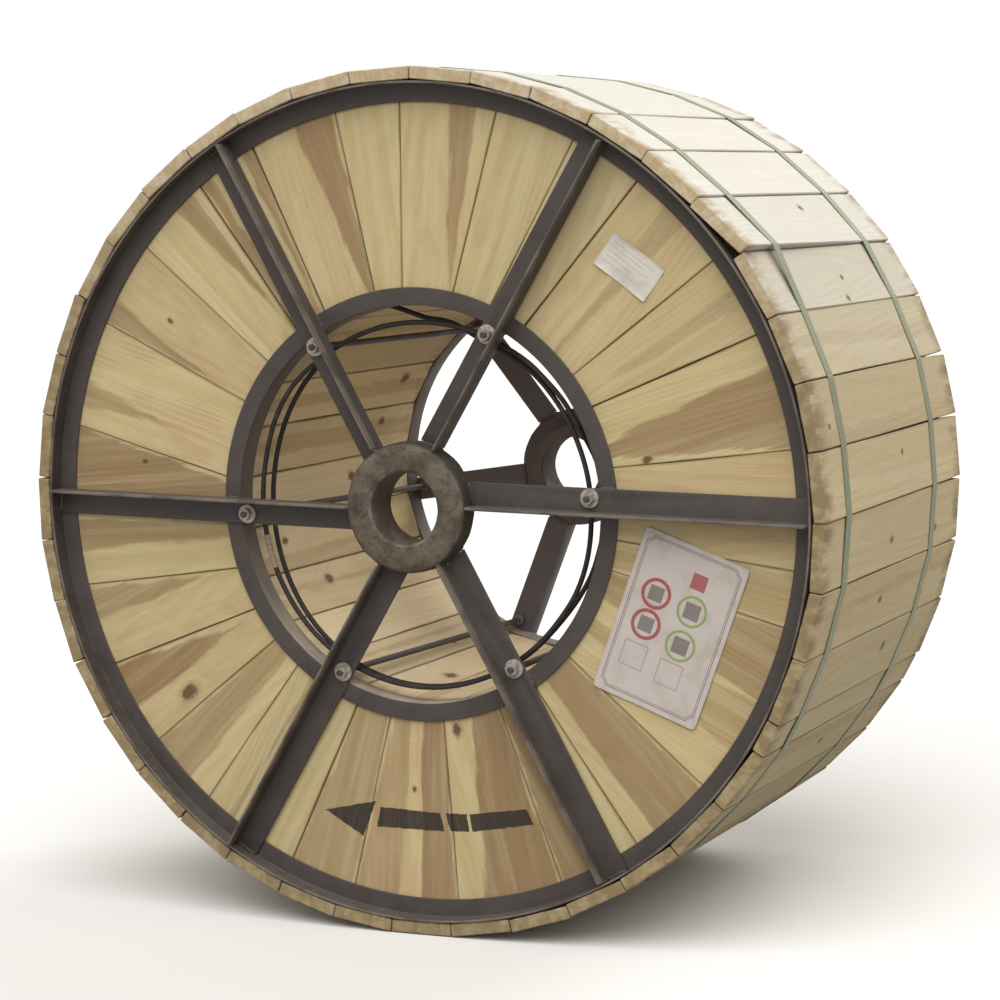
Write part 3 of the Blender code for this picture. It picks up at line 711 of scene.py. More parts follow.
def fine_steps(profile, longest):
    """A closed profile with its longer sides cut into steps."""
    points = []
    for i, point in enumerate(profile):
        after = profile[(i + 1) % len(profile)]
        pieces = max(1, math.ceil((after - point).length / longest))
        points += [point.lerp(after, j / pieces) for j in range(pieces)]
    return points


def add_skin(bm, loops):
    """Faces between neighbouring loops of vertices."""
    for before, loop in zip(loops, loops[1:]):
        for k in range(len(loop)):
            bm.faces.new((before[k - 1], before[k], loop[k], loop[k - 1]))


def add_closed_skin(bm, loops):
    add_skin(bm, loops)
    bm.faces.new(loops[0])
    bm.faces.new(loops[-1])


def add_slab_skin(bm, loops):
    """The skin of a slab whose loops go over one face and back over the other."""
    add_skin(bm, loops)
    for loop in (loops[0], loops[-1]):
        for j in range(len(loop) // 2 - 1):
            bm.faces.new((loop[j], loop[j + 1], loop[-2 - j], loop[-1 - j]))


def add_turned(bm, side, profile, steps, stray=0.0):
    """A closed profile of (radius, depth) turned round the axle, a little out of true."""
    loops = []
    for angle in (360.0 * i / steps for i in range(steps)):
        spread = stray * noise.noise(Vector((*flat(2.3, angle), side.sign * 5.0)))
        loops.append([bm.verts.new(on(side, r + spread, angle, d + spread / 2)) for r, d in profile])
    add_skin(bm, loops + loops[:1])


def add_tube(bm, path, radii, sides):
    """A closed tube along a path."""
    loops = []
    normal = (path[1] - path[0]).orthogonal()
    for i, (point, radius) in enumerate(zip(path, radii)):
        run = (path[min(i + 1, len(path) - 1)] - path[max(i - 1, 0)]).normalized()
        normal = (normal - run * normal.dot(run)).normalized()
        side = run.cross(normal)
        turns = [math.tau * k / sides for k in range(sides)]
        loops.append([bm.verts.new(point + (normal * math.cos(a) + side * math.sin(a)) * radius)
                      for a in turns])
    add_closed_skin(bm, loops)


# ---------------------------------------------------------------- boards

FIELDS = ("grain", "growth", "tone", "edges", "board", "heart_a", "heart_b", "knot_a", "knot_b")
NO_ZONE = (-1.0, -1.0, 0.0)
NO_KNOT = (1.0, 1.0, 0.0)
GROOVE_SPREAD = 1.5           # joint vertices nearer than this angle belong to one groove


class Board:
    """One board in its own directions: across, along and through."""

    ease = 0.0012
    rows = 4
    stops = 10
    bleach_and_top_light = 0.0
    flare = 0.0

    def __init__(self, origin, across, along, through):
        self.origin, self.across, self.along, self.through = origin, across, along, through
        self.offset = rng.uniform(0.0, 60.0)
        self.chance = rng.random()
        self.shade_and_light = rng.uniform(-0.05, 0.05)
        self.pith = (rng.uniform(-0.06, 0.06), rng.choice((-1, 1)) * rng.uniform(0.02, 0.09),
                     rng.uniform(-0.03, 0.03), rng.uniform(-0.10, 0.10))
        self.zones = []
        self.knots = []

    def point(self, across, along, through):
        spread = across * (1.0 + self.flare * through)
        return self.origin + self.across * spread + self.along * along + self.through * through

    def marks(self, s, t, across, along, through, cap):
        """The values of the fields at one of its places."""
        left, right = self.outline(0.0, t)[0], self.outline(1.0, t)[0]
        low, high = self.outline(s, 0.0)[1], self.outline(s, 1.0)[1]
        pith_across, pith_through, drift, dip = self.pith
        zones = [zone(across, along) for zone in self.zones] + [NO_ZONE, NO_ZONE]
        knots = [(across - x, along - y, size) for x, y, size in self.knots] + [NO_KNOT, NO_KNOT]
        return ((along + self.offset, across + self.offset * 0.37, through),
                (across - pith_across - drift * along, through - pith_through - dip * along, 0.0),
                (self.shade_and_light, self.bleach_and_top_light, 0.0), (across - left, right - across, along - low),
                (self.chance, cap, high - along), *zones[:2], *knots[:2])


def steps_over(count, ease):
    """Steps over a board with eased edges: how far over, how far moved in, and how far cut down."""
    return [(0.0, 0.0, ease), (0.0, ease, 0.0), *((j / count, 0.0, 0.0) for j in range(1, count)),
            (1.0, -ease, 0.0), (1.0, 0.0, ease)]


def make_boards(name, boards, material, slot, node):
    """Many boards in one mesh, with what their material needs to know at each vertex."""
    bm = bmesh.new()
    marks = []
    for board in boards:
        rows = steps_over(board.rows, board.ease)
        loops = []
        for t, shift, tuck in steps_over(board.stops, board.ease):
            loop = []
            for face, inward, across_rows in ((0, 1, rows), (1, -1, rows[::-1])):
                for s, inset, drop in across_rows:
                    across, along = board.outline(s, t)
                    across += inset + (tuck if s == 0.0 else -tuck if s == 1.0 else 0.0)
                    along += shift
                    through = board.faces(s, t)[face] + (drop + tuck) * inward
                    loop.append(bm.verts.new(board.point(across, along, through)))
                    marks.append(board.marks(s, t, across, along, through, 1.0 if tuck else 0.0))
            loops.append(loop)
        add_slab_skin(bm, loops)
    mesh = add_mesh(name, bm, material, None, slot, node)
    for field, vectors in zip(FIELDS, zip(*marks)):
        write_field(mesh, field, vectors)


def wander(amount):
    """A slow wave of random phase, for edges and faces that aren't quite straight."""
    waves = [(rng.uniform(1.5, 9.0), rng.uniform(0.0, math.tau), amount / (k + 1)) for k in range(3)]
    return lambda t: sum(size * math.sin(rate * t + phase) for rate, phase, size in waves)


def stripe(middle, half, slope, strength):
    """Heartwood that runs along a board."""
    return lambda across, along: (across - middle - slope * along + half,
                                  middle + slope * along + half - across, strength)


def joint_spans(node, side, radii, depths=(-math.inf, math.inf)):
    """The angles from joint to joint, from a node's vertices between two radii and two depths."""
    angles = []
    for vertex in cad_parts[node].data.vertices:
        x, up = side.sign * vertex.co.x, vertex.co.z - AXIS_HEIGHT
        depth = side.sign * (vertex.co.y - side.plane)
        if radii[0] < math.hypot(x, up) < radii[1] and depths[0] < depth < depths[1]:
            angles.append(math.degrees(math.atan2(up, x)) % 360.0)
    groups = []
    for angle in sorted(angles):
        if groups and angle - groups[-1][-1] < GROOVE_SPREAD:
            groups[-1].append(angle)
        else:
            groups.append([angle])
    if groups[0][0] + 360.0 - groups[-1][-1] < GROOVE_SPREAD:
        groups[0] = [angle - 360.0 for angle in groups.pop()] + groups[0]
    joints = [sum(group) / len(group) for group in groups]
    return list(zip(joints, joints[1:] + [joints[0] + 360.0]))


def outward(side, angle):
    """The direction away from the axle at an angle, as seen by someone facing the flange."""
    x, up = flat(1.0, angle)
    return Vector((side.sign * x, 0.0, up))


# Heartwood in the front planks: the two angles at the rim, the two at the ring, and how dark it is.
HEARTWOOD = (
    (8.8, 20.5, 13.0, 18.0, 0.75), (29.0, 32.0, 30.2, 31.0, 0.4), (43.0, 47.0, 43.8, 45.0, 0.4),
    (78.5, 83.0, 77.9, 79.0, 0.7), (101.5, 108.0, 100.9, 103.0, 0.8),
    (115.7, 117.5, 116.8, 118.5, 0.7), (123.5, 125.8, 123.8, 126.0, 0.7),
    (127.5, 131.5, 127.4, 126.4, 0.7), (148.5, 152.3, 152.6, 150.9, 0.7),
    (161.5, 165.5, 167.5, 164.5, 0.6), (168.7, 179.0, 174.2, 179.5, 0.85),
    (183.0, 188.0, 185.0, 190.0, 0.65), (193.5, 198.5, 199.5, 198.0, 0.6),
    (206.0, 213.5, 212.4, 211.4, 0.9), (219.2, 227.0, 220.8, 226.0, 0.65),
    (235.0, 236.0, 235.2, 236.0, 0.5), (247.3, 257.6, 250.7, 260.4, 0.5),
    (258.0, 265.2, 260.8, 266.5, 0.55), (268.6, 274.5, 269.5, 276.0, 0.85),
    (279.0, 291.3, 284.5, 292.8, 0.85), (291.8, 296.5, 293.3, 297.0, 0.8),
    (308.0, 317.9, 308.5, 317.4, 0.7), (325.0, 333.0, 326.0, 330.0, 0.45),
    (333.0, 343.7, 336.0, 343.7, 0.7), (344.3, 351.7, 344.3, 351.7, 0.45),
)
# Knots of the front planks: angle, radius from the axle and size.
PLANK_KNOTS = (
    (11.0, 0.395, 0.006), (172.6, 0.492, 0.004), (172.4, 0.405, 0.004), (216.5, 0.525, 0.012),
    (267.5, 0.450, 0.004), (279.5, 0.355, 0.008), (60.5, 0.560, 0.004), (146.0, 0.520, 0.004),
    (240.0, 0.420, 0.004),
)
PLANK_INSIDE = RING_RADIUS + ANGLE_WALL + 0.0012
PLANK_OUTSIDE = RIM_RADIUS - ANGLE_WALL * 0.1
PLANK_MIDDLE = (RIM_RADIUS + RING_RADIUS) / 2
PLANK_GROOVE = (PLANK_FRONT + 0.006, PLANK_FRONT + 0.012)    # depths between which joints are sought


def zone_between(over, out, low_rim, high_rim, low_ring, high_ring, strength):
    """How far inside a heartwood zone a place on a plank is, from each of the zone's two edges."""
    lines = []
    for rim, ring, turn in ((low_rim, low_ring, 1), (high_rim, high_ring, -1)):
        start, stop = flat(RING_OUTSIDE, ring), flat(RIM_RADIUS - RIM_FLAT, rim)
        run = (stop - start).normalized()
        lines.append((start, Vector((-run.y, run.x)) * turn))

    def zone(across, along):
        spot = over * across + out * along
        return (*((spot - start).dot(normal) for start, normal in lines), strength)
    return zone


def make_planks(side, material):
    """The wedge-shaped planks of a flange, with a narrow gap between each two."""
    node = "flange_planks_" + side.name
    rim_spans = joint_spans(node, side, (PLANK_MIDDLE, math.inf), PLANK_GROOVE)
    ring_spans = joint_spans(node, side, (0.0, PLANK_MIDDLE), PLANK_GROOVE)
    gaps = [(rng.uniform(0.0002, 0.0006) + 0.0018 * rng.random() ** 4) / 2 for _ in rim_spans]
    boards = [make_plank(side, *place)
              for place in zip(rim_spans, ring_spans, gaps, gaps[1:] + gaps[:1])]
    make_boards("planks_" + side.name, boards, material, "flange_timber", node)


def make_plank(side, rim, ring, gap_low, gap_high):
    """A wedge between its two joint angles at the rim and its two at the ring."""
    middle_angle = (sum(rim) + sum(ring)) / 4
    out, over = flat(1.0, middle_angle), flat(1.0, middle_angle + 90.0)
    board = Board(on(side, 0.0, 0.0, PLANK_FRONT), outward(side, middle_angle + 90.0),
                  outward(side, middle_angle), Vector((0.0, side.sign, 0.0)))
    board.rows = max(3, math.ceil((rim[1] - rim[0]) / 4.0))
    board.stops = 12

    def in_plank(radius, angle):
        spot = flat(radius, angle)
        return Vector((spot.dot(over), spot.dot(out)))

    ends = ((PLANK_INSIDE, ring), (PLANK_OUTSIDE, rim))
    left, right = ([in_plank(radius, angles[k]) for radius, angles in ends] for k in (0, 1))
    bulges = [radius * (1 - math.cos(math.radians(high - low) / 2)) for radius, (low, high) in ends]
    low_wave, high_wave, bow = wander(0.00025), wander(0.00025), wander(0.00020)
    proud = rng.uniform(0.0, 0.0007)
    tip = rng.uniform(-0.0004, 0.0004)

    def outline(s, t):
        low, high = left[0].lerp(left[1], t), right[0].lerp(right[1], t)
        across = low.x + gap_low + low_wave(t)
        width = high.x - gap_high + high_wave(t) - across
        bulge = bulges[0] * (1 - t) + bulges[1] * t
        return across + width * s, low.y + (high.y - low.y) * s + bulge * 4 * s * (1 - s)

    board.outline = outline
    board.faces = lambda s, t: (proud + tip * (2 * s - 1) + bow(t), PLANK_BACK - PLANK_FRONT)
    if side is FRONT:
        board.zones = [zone_between(over, out, *zone) for zone in HEARTWOOD
                       if zone[0] > rim[0] - 0.4 and zone[1] < rim[1] + 0.4]
        for angle, radius, size in PLANK_KNOTS:
            t = (radius - PLANK_INSIDE) / (PLANK_OUTSIDE - PLANK_INSIDE)
            low, high = (r + (m - r) * t for r, m in zip(ring, rim))
            if low < angle < high:
                board.knots.append((*in_plank(radius, angle), size))
    else:
        draws = [rng.random() for _ in range(8)]
        if draws[0] < 0.6:
            low, high = sorted(rim[0] + (rim[1] - rim[0]) * draw for draw in draws[1:3])
            board.zones = [zone_between(over, out, low, high, low + 2 * draws[3] - 1,
                                        high + 2 * draws[4] - 1, 0.45 + 0.4 * draws[5])]
        if draws[6] < 0.35:
            board.knots = [(left[0].lerp(right[1], 0.5).x * 0.5, 0.36 + 0.22 * draws[7], 0.008)]
    return board


def board_on_circle(radius, angle):
    """A board along the drum, flat on a circle round the axle."""
    return Board(at(radius, angle, 0.0), outward(FRONT, angle + 90.0), Vector((0.0, 1.0, 0.0)),
                 outward(FRONT, angle))


def make_barrel(material):
    """The barrel's staves. One is short at the front, where the cable comes in."""
    node = "barrel_staves"
    low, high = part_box(node)
    spans = joint_spans(node, FRONT, (RING_RADIUS + 0.004, RING_RADIUS + 0.0105))
    pitch = 360.0 / len(spans)
    width = 2 * RING_RADIUS * math.tan(math.radians(pitch / 2)) - STAVE_GAP
    boards = []
    for joint, after in spans:
        angle = joint + pitch / 2
        start = low.y + (NOTCH_DEPTH if abs(angle - NOTCH_ANGLE) < pitch / 2 else 0.0)
        boards.append(make_stave(angle, width, start, high.y))
    make_boards("staves", boards, material, "barrel_timber", node)


def make_stave(angle, width, start, stop):
    board = board_on_circle(RING_RADIUS + GAP, angle)
    low_wave, high_wave = wander(0.00035), wander(0.00035)
    lift = rng.uniform(0.0, 0.0012)
    board.outline = lambda s, t: (-width / 2 + low_wave(t) + (width + high_wave(t) - low_wave(t)) * s,
                                  start + (stop - start) * t)
    board.faces = lambda s, t: (lift, STAVE_THICKNESS)
    if rng.random() < 0.75:
        board.knots = [(rng.uniform(-0.02, 0.02), rng.uniform(-0.25, 0.25),
                        rng.uniform(0.006, 0.011))]
    if rng.random() < 0.5:
        board.zones = [stripe(rng.uniform(-0.03, 0.03), rng.uniform(0.004, 0.018), 0.0, 0.5)]
    board.shade_and_light = rng.uniform(-0.12, 0.10)
    return board


# Knots and nail holes of the lagging that show: depth, angle and size.
LAGGING_KNOTS = (
    (0.36, -36.5, 0.007), (0.44, -22.5, 0.008), (0.33, -14.3, 0.007), (0.28, 3.2, 0.008),
    (0.585, -7.0, 0.006), (0.35, 26.5, 0.006), (0.375, 29.7, 0.005), (0.065, 10.6, 0.004),
)
LAGGING_GROOVE = (RIM_RADIUS + 0.002, RIM_RADIUS + 0.011)    # radii between which joints are sought
FLOOR_ANGLE = 270.0
STEADY_SPAN = 14.0           # no board this near the one on the floor stands off
LIFTED_BOARD = 38.2          # angle of the board whose front end stands off the rim
LIFTED_SPAN = 3.0


def make_lagging(material):
    """The lagging boards round the rims. Returns them for the straps to lie on."""
    node = "lagging_boards"
    boards = [lagging_board(*span) for span in joint_spans(node, FRONT, LAGGING_GROOVE)]
    make_boards("lagging", boards, material, "lagging_timber", node)
    return boards


def lagging_board(low, high):
    """A weathered lath that isn't quite straight, seated or as long as the next one."""
    angle = (low + high) / 2
    board = board_on_circle(BOARD_SEAT, angle)
    width = 2 * BOARD_SEAT * math.tan(math.radians((high - low) / 2)) - rng.uniform(0.0004, 0.0020)
    short = rng.uniform(0.0, 0.004), rng.uniform(0.0, 0.006)
    low_wave, high_wave = wander(0.0005), wander(0.0005)
    nip = rng.uniform(0.0005, 0.0028), rng.uniform(0.0005, 0.0028)
    skew = rng.uniform(-0.0012, 0.0012)
    lifts = [[rng.uniform(0.0, 0.0014) for end in range(2)] for edge in range(2)]
    edge = rng.randrange(2)
    for end in range(2):
        lifts[edge][end] += rng.uniform(0.0, 0.0026)
    if abs(angle - FLOOR_ANGLE) < STEADY_SPAN:
        lifts = [[0.0, 0.0], [0.0, 0.0]]
        skew = 0.0
    if abs(angle - LIFTED_BOARD) < LIFTED_SPAN:
        lifts = [[0.0150, 0.003], [0.0, 0.001]]
        short = (0.001, 0.003)

    def outline(s, t):
        worn = max(0.0, (t - 0.88) / 0.12) ** 1.5
        left = -width / 2 + low_wave(t) * 0.6 + nip[0] * worn + skew * (t - 0.5)
        right = width / 2 + high_wave(t) * 0.6 - nip[1] * worn + skew * (t - 0.5)
        start, stop = BOARDS_LOW.y + short[0], BOARDS_HIGH.y - short[1]
        return left + (right - left) * s, start + (stop - start) * t

    def faces(s, t):
        near, far = (low_edge + (high_edge - low_edge) * s for low_edge, high_edge in zip(*lifts))
        lift = near + (far - near) * t
        return lift, lift + BOARD_THICKNESS

    board.outline, board.faces = outline, faces
    board.ease = 0.0014
    board.stops = 12
    board.flare = 0.8 / BOARD_SEAT
    board.shade_and_light = rng.uniform(-0.06, 0.02)
    # Lighter on the boards between about 25° and 85°: painted light from the lamps above.
    board.shade_and_light += 0.10 * smooth_step((angle - 25.0) / 20.0) * smooth_step((85.0 - angle) / 20.0)
    # Paler towards the top of the drum: sun-bleaching, and painted light from above.
    board.bleach_and_top_light = smooth_step((angle - 12.0) / 30.0) * smooth_step((165.0 - angle) / 50.0)
    for depth, knot_angle, size in LAGGING_KNOTS:
        off = knot_angle % 360.0 - angle
        if abs(off) < (high - low) / 2:
            board.knots.append((math.radians(off) * BOARD_SEAT, BOARDS_LOW.y + depth, size))
    while len(board.knots) < 2 and rng.random() < 0.25:
        board.knots.append((rng.uniform(-0.035, 0.035), rng.uniform(-0.32, 0.32),
                            rng.uniform(0.003, 0.007)))
    if rng.random() < 0.45:
        board.zones = [stripe(rng.uniform(-0.04, 0.04), rng.uniform(0.004, 0.016),
                              rng.uniform(-0.03, 0.03), 0.35)]
    return board


# ---------------------------------------------------------------- straps

STRAP_SECTION = ((-0.5, 0.1), (-0.47, 1.0), (0.0, 1.15), (0.47, 1.0), (0.5, 0.1), (0.47, 0.0),
                 (-0.47, 0.0))
BEND_LENGTH = 0.003          # of the strap at each side of a board's corner


def hull(points):
    """Convex outline of points in a plane, counter-clockwise."""
    points = sorted(points)
    outline = []
    for sweep in (points, points[::-1]):
        chain = []
        for p in sweep:
            while len(chain) > 1 and ((chain[-1][0] - chain[-2][0]) * (p[1] - chain[-2][1])
                                      - (chain[-1][1] - chain[-2][1]) * (p[0] - chain[-2][0])) <= 0:
                chain.pop()
            chain.append(p)
        outline += chain[:-1]
    return [Vector(p) for p in outline]


def make_strap(name, boards, material):
    """A strap pulled tight over the boards' corners, along the CAD strap's wandering line."""
    low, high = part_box(name)
    middle, swing = (low.y + high.y) / 2, (high.y - low.y - STRAP_WIDTH) / 2
    lowest = min(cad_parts[name].data.vertices, key=lambda v: v.co.z).co.y
    swing *= 1 if lowest < middle else -1

    def line(x, up):
        return middle + swing * math.sin(math.atan2(up, x))

    corners = []
    for board in boards:
        start, stop = (board.outline(0.5, t)[1] for t in (0, 1))
        seat = board.point(0.0, 0.0, 0.0) - AXLE
        t = (line(seat.x, seat.z) - start) / (stop - start)
        for s, inset in ((0.0, board.ease), (1.0, -board.ease)):
            across, along = board.outline(s, t)
            spot = board.point(across + inset, along, board.faces(s, t)[1]) - AXLE
            corners.append((spot.x, spot.z))
    path = hull(corners)
    stops = []
    for i, corner in enumerate(path):
        after = path[(i + 1) % len(path)]
        length = (after - corner).length
        stops.append((corner, path[i - 1] - after))
        if length > 0.02:
            stops += [(corner.lerp(after, t), corner - after)
                      for t in (BEND_LENGTH / length, 0.5, 1 - BEND_LENGTH / length)]
    bm = bmesh.new()
    loops, fields, travelled, last = [], [], 0.0, stops[0][0]
    for spot, run in stops:
        travelled += (spot - last).length
        last = spot
        out = Vector((-run.y, run.x)).normalized()
        out *= math.copysign(1.0, out.dot(spot))
        y = line(*spot)
        loop = []
        for across, rise in STRAP_SECTION:
            x, up = spot + out * (GAP + STRAP_THICKNESS * rise)
            loop.append(bm.verts.new((x, y + across * STRAP_WIDTH, up + AXIS_HEIGHT)))
            fields.append((travelled, across * STRAP_WIDTH, rise))
        loops.append(loop)
    add_skin(bm, loops + loops[:1])
    mesh = add_mesh(name.replace("strap", "band"), bm, material, 40.0, "green_strapping", name)
    write_field(mesh, "run", fields)


# ---------------------------------------------------------------- steelwork

def make_rings(side, material):
    """The rim and the inner ring of rolled angle, with rolled corners."""
    flat_back = FLAT_DEPTH + ANGLE_WALL
    rim_flat, rim_lip = RIM_RADIUS - RIM_FLAT, RIM_RADIUS - ANGLE_WALL
    ring_lip = RING_RADIUS + ANGLE_WALL
    rim = [(rim_flat, flat_back), (rim_flat, FLAT_DEPTH), (rim_lip, FLAT_DEPTH),
           (rim_lip, RIM_LIP_DEPTH), (RIM_RADIUS, RIM_LIP_DEPTH), (RIM_RADIUS, flat_back)]
    ring = [(RING_RADIUS, FLAT_DEPTH), (RING_OUTSIDE, FLAT_DEPTH), (RING_OUTSIDE, flat_back),
            (ring_lip, flat_back), (ring_lip, PLANK_BACK), (RING_RADIUS, PLANK_BACK)]
    for name, profile, node in (("rim_", rim, "outer_rim_"), ("ring_", ring, "inner_ring_")):
        bm = bmesh.new()
        eased = rounded(profile, [ROLLED_EASE] * len(profile))
        add_turned(bm, side, eased, RING_STEPS, OUT_OF_TRUE)
        add_mesh(name + side.name, bm, material, 35.0, "dark_steel", node + side.name)


def make_hub(side, material):
    """The bushing: a rough collar, a sleeve and a bore with a wide mouth."""
    face = -HUB_STANDOUT
    profile = [(HUB_BORE + 0.004, face), (HUB_RADIUS - 0.0175, face), (HUB_RADIUS, face + 0.006),
               (HUB_RADIUS, SPOKE_BACK), (SLEEVE_RADIUS, SPOKE_BACK), (SLEEVE_RADIUS, SLEEVE_DEPTH),
               (HUB_BORE, SLEEVE_DEPTH), (HUB_BORE, face + 0.008)]
    eases = (*[HUB_MOUTH_EASE] * 3, 0.0015, 0.0015, 0.0030, 0.0030, HUB_MOUTH_EASE)
    bm = bmesh.new()
    add_turned(bm, side, fine_steps(rounded(profile, eases), HUB_STEP_LENGTH), HUB_STEPS)
    bmesh.ops.recalc_face_normals(bm, faces=bm.faces)
    bm.normal_update()
    moves = [noise.noise(v.co * 42.0) * 0.0010 + noise.noise(v.co * 150.0) * 0.00045 - 0.0006
             for v in bm.verts]
    for vertex, move in zip(bm.verts, moves):
        vertex.co += vertex.normal * move
    add_mesh("bushing_" + side.name, bm, material, 60.0, "weathered_steel", "hub_" + side.name)


def plain_solid(node):
    """A CAD node's shape with its flat faces whole again."""
    bm = bmesh.new()
    bm.from_mesh(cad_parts[node].data)
    bmesh.ops.remove_doubles(bm, verts=bm.verts, dist=0.00002)
    bmesh.ops.dissolve_limit(bm, angle_limit=math.radians(0.6), verts=bm.verts, edges=bm.edges)
    return bm


def long_run(bm):
    """The direction of the longest edge."""
    edge = max(bm.edges, key=lambda e: e.calc_length())
    return (edge.verts[1].co - edge.verts[0].co).normalized()


def make_spokes(side, material):
    """The angle irons with eased edges, and beads of weld where they meet rim, ring and hub."""
    welds = bmesh.new()
    for k in range(1, SPOKE_COUNT + 1):
        node = f"spoke_{side.name}_{k}"
        bm = plain_solid(node)
        places = [v.co - AXLE for v in bm.verts]
        run = long_run(bm)
        if run.dot(sum(places, Vector())) < 0:
            run = -run
        over = Vector((0.0, 1.0, 0.0)).cross(run)
        offsets = [place.dot(over) for place in places]
        heel = [offset for place, offset in zip(places, offsets)
                if side.sign * (place.y - side.plane) < -0.001]
        add_spoke_welds(welds, side, run, over, min(offsets), max(offsets),
                        max(place.dot(run) for place in places), sum(heel) / len(heel))
        edges = [e for e in bm.edges if e.is_manifold and e.calc_face_angle(0.0) > math.radians(30)]
        bmesh.ops.bevel(bm, geom=edges, offset=SPOKE_EASE, segments=2, profile=0.6, affect="EDGES",
                        clamp_overlap=False)
        add_mesh(f"angle_iron_{side.name}_{k}", bm, material, 35.0, "dark_steel", node)
    add_mesh("welds_" + side.name, welds, material, 80.0, "dark_steel")


def add_bead(bm, start, stop, size):
    """A lumpy bead of weld between two places."""
    length = (stop - start).length
    count = max(5, round(length / BEAD_STEP))
    path, radii = [], []
    for t in (i / count for i in range(count + 1)):
        swell = 0.78 + 0.22 * abs(math.sin(t * length / BEAD_RIPPLE * math.pi))
        taper = min(1.0, 0.35 + 5.0 * min(t, 1 - t))
        jitter = noise.noise_vector(start * 90.0 + Vector((t * 9.0, 0.0, 0.0))) * size * 0.22
        path.append(start.lerp(stop, t) + jitter)
        radii.append(size * swell * taper)
    add_tube(bm, path, radii, 8)


def add_spoke_welds(bm, side, run, over, low, high, far, heel):
    """Beads at one spoke: at the rim's lip, beside the inner ring, and round the hub."""
    face, back, lip, outer_edge = (side.plane + side.sign * depth for depth in
                                   (SPOKE_FACE, SPOKE_BACK, 0.004, SPOKE_BACK - SPOKE_OUTSTAND))

    def bead(size, *ends):
        add_bead(bm, *(AXLE + run * along + over * across + Vector((0.0, y, 0.0))
                       for along, across, y in ends), size)

    def reach(radius, across):
        return math.sqrt(radius * radius - across * across)

    bead(BEAD, (far + 0.0008, low + 0.002, face), (far + 0.0008, high - 0.002, face))
    bead(NARROW_BEAD, (far + 0.0008, heel, face), (far + 0.0008, heel, lip))
    for across in (low, high):
        bead(NARROW_BEAD, *((reach(radius, across), across, back)
                            for radius in (RING_RADIUS + 0.003, RING_OUTSIDE - 0.003)))
    seat = HUB_RADIUS - 0.0006
    for size, y in ((WIDE_BEAD, face), (NARROW_BEAD, back)):
        bead(size, *((reach(seat, across), across, y) for across in (low, high)))
    bead(BEAD, (reach(seat, heel), heel, face),
         (reach(seat, heel), heel, outer_edge + side.sign * 0.003))


def add_shell(bm, centre, rows, turn=0.0):
    """A closed turned solid round a rod: rows of (y, radii round it)."""
    loops = []
    for y, radii in rows:
        angles = [turn + math.tau * i / len(radii) for i in range(len(radii))]
        loops.append([bm.verts.new((centre.x + r * math.cos(a), y, centre.z + r * math.sin(a)))
                      for r, a in zip(radii, angles)])
    add_closed_skin(bm, loops)


def add_nut(bm, centre, start, stop, turn):
    """A hexagon nut with its corners cut at both faces."""
    corner = math.tau / 6
    turns = [math.tau * i / NUT_SIDES for i in range(NUT_SIDES)]
    full = [NUT_FLATS / 2 / math.cos(a % corner - corner / 2) for a in turns]
    eased = [min(r, NUT_FLATS / 2 * 1.03) for r in full]
    cut = math.copysign(NUT_CHAMFER, stop - start)
    rows = [(start, eased), (start + cut, full), (stop - cut, full), (stop, eased)]
    add_shell(bm, centre, rows, turn)


def cut_thread(tip, side):
    """Places and radii along a rod's thread, from its tip inwards."""
    stop = side.plane + side.sign * (SPOKE_BACK + NUT_HEIGHT + THREAD_PAST_NUT)
    count = round(abs(stop - tip.y) / THREAD_PITCH * 4)
    return [(Vector((tip.x, tip.y + (stop - tip.y) * i / count, tip.z)),
             ROD_RADIUS - THREAD_DEPTH * ((i % 4 in (0, 1)) + (i == 0))) for i in range(count + 1)]


def make_rods(material, shaft_material):
    """The tie rods with cut threads, nuts and washers at both ends."""
    for k in range(1, SPOKE_COUNT + 1):
        node = f"tie_rod_{k}"
        points = [v.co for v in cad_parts[node].data.vertices]
        tips = []
        for y in (extreme(p.y for p in points) for extreme in (min, max)):
            ring = [p for p in points if abs(p.y - y) < 0.0005]
            tips.append(sum(ring, Vector()) / len(ring))
        bm = bmesh.new()
        add_tube(bm, *zip(*cut_thread(tips[0], FRONT), *cut_thread(tips[1], REAR)[::-1]), 20)
        for face in bm.faces:
            face.material_index = 1
        for tip, side in zip(tips, SIDES):
            face, inner = (side.plane + side.sign * d for d in (SPOKE_FACE - GAP, SPOKE_BACK + GAP))
            washer = face - side.sign * WASHER_THICKNESS
            ease = side.sign * WASHER_EASE
            turn = rng.uniform(0.0, 1.0)
            full, slim = ([WASHER_RADIUS - cut] * WASHER_SIDES for cut in (0.0, WASHER_EASE))
            rows = [(face, slim), (face - ease, full), (washer + ease, full), (washer, slim)]
            add_shell(bm, tip, rows)
            add_nut(bm, tip, washer, washer - side.sign * NUT_HEIGHT, turn)
            add_nut(bm, tip, inner, inner + side.sign * NUT_HEIGHT, turn + 0.4)
        mesh = add_mesh(f"rod_{k}", bm, material, 30.0, "zinc_fixings", node)
        mesh.materials.append(shaft_material)


# ---------------------------------------------------------------- cable, card and label

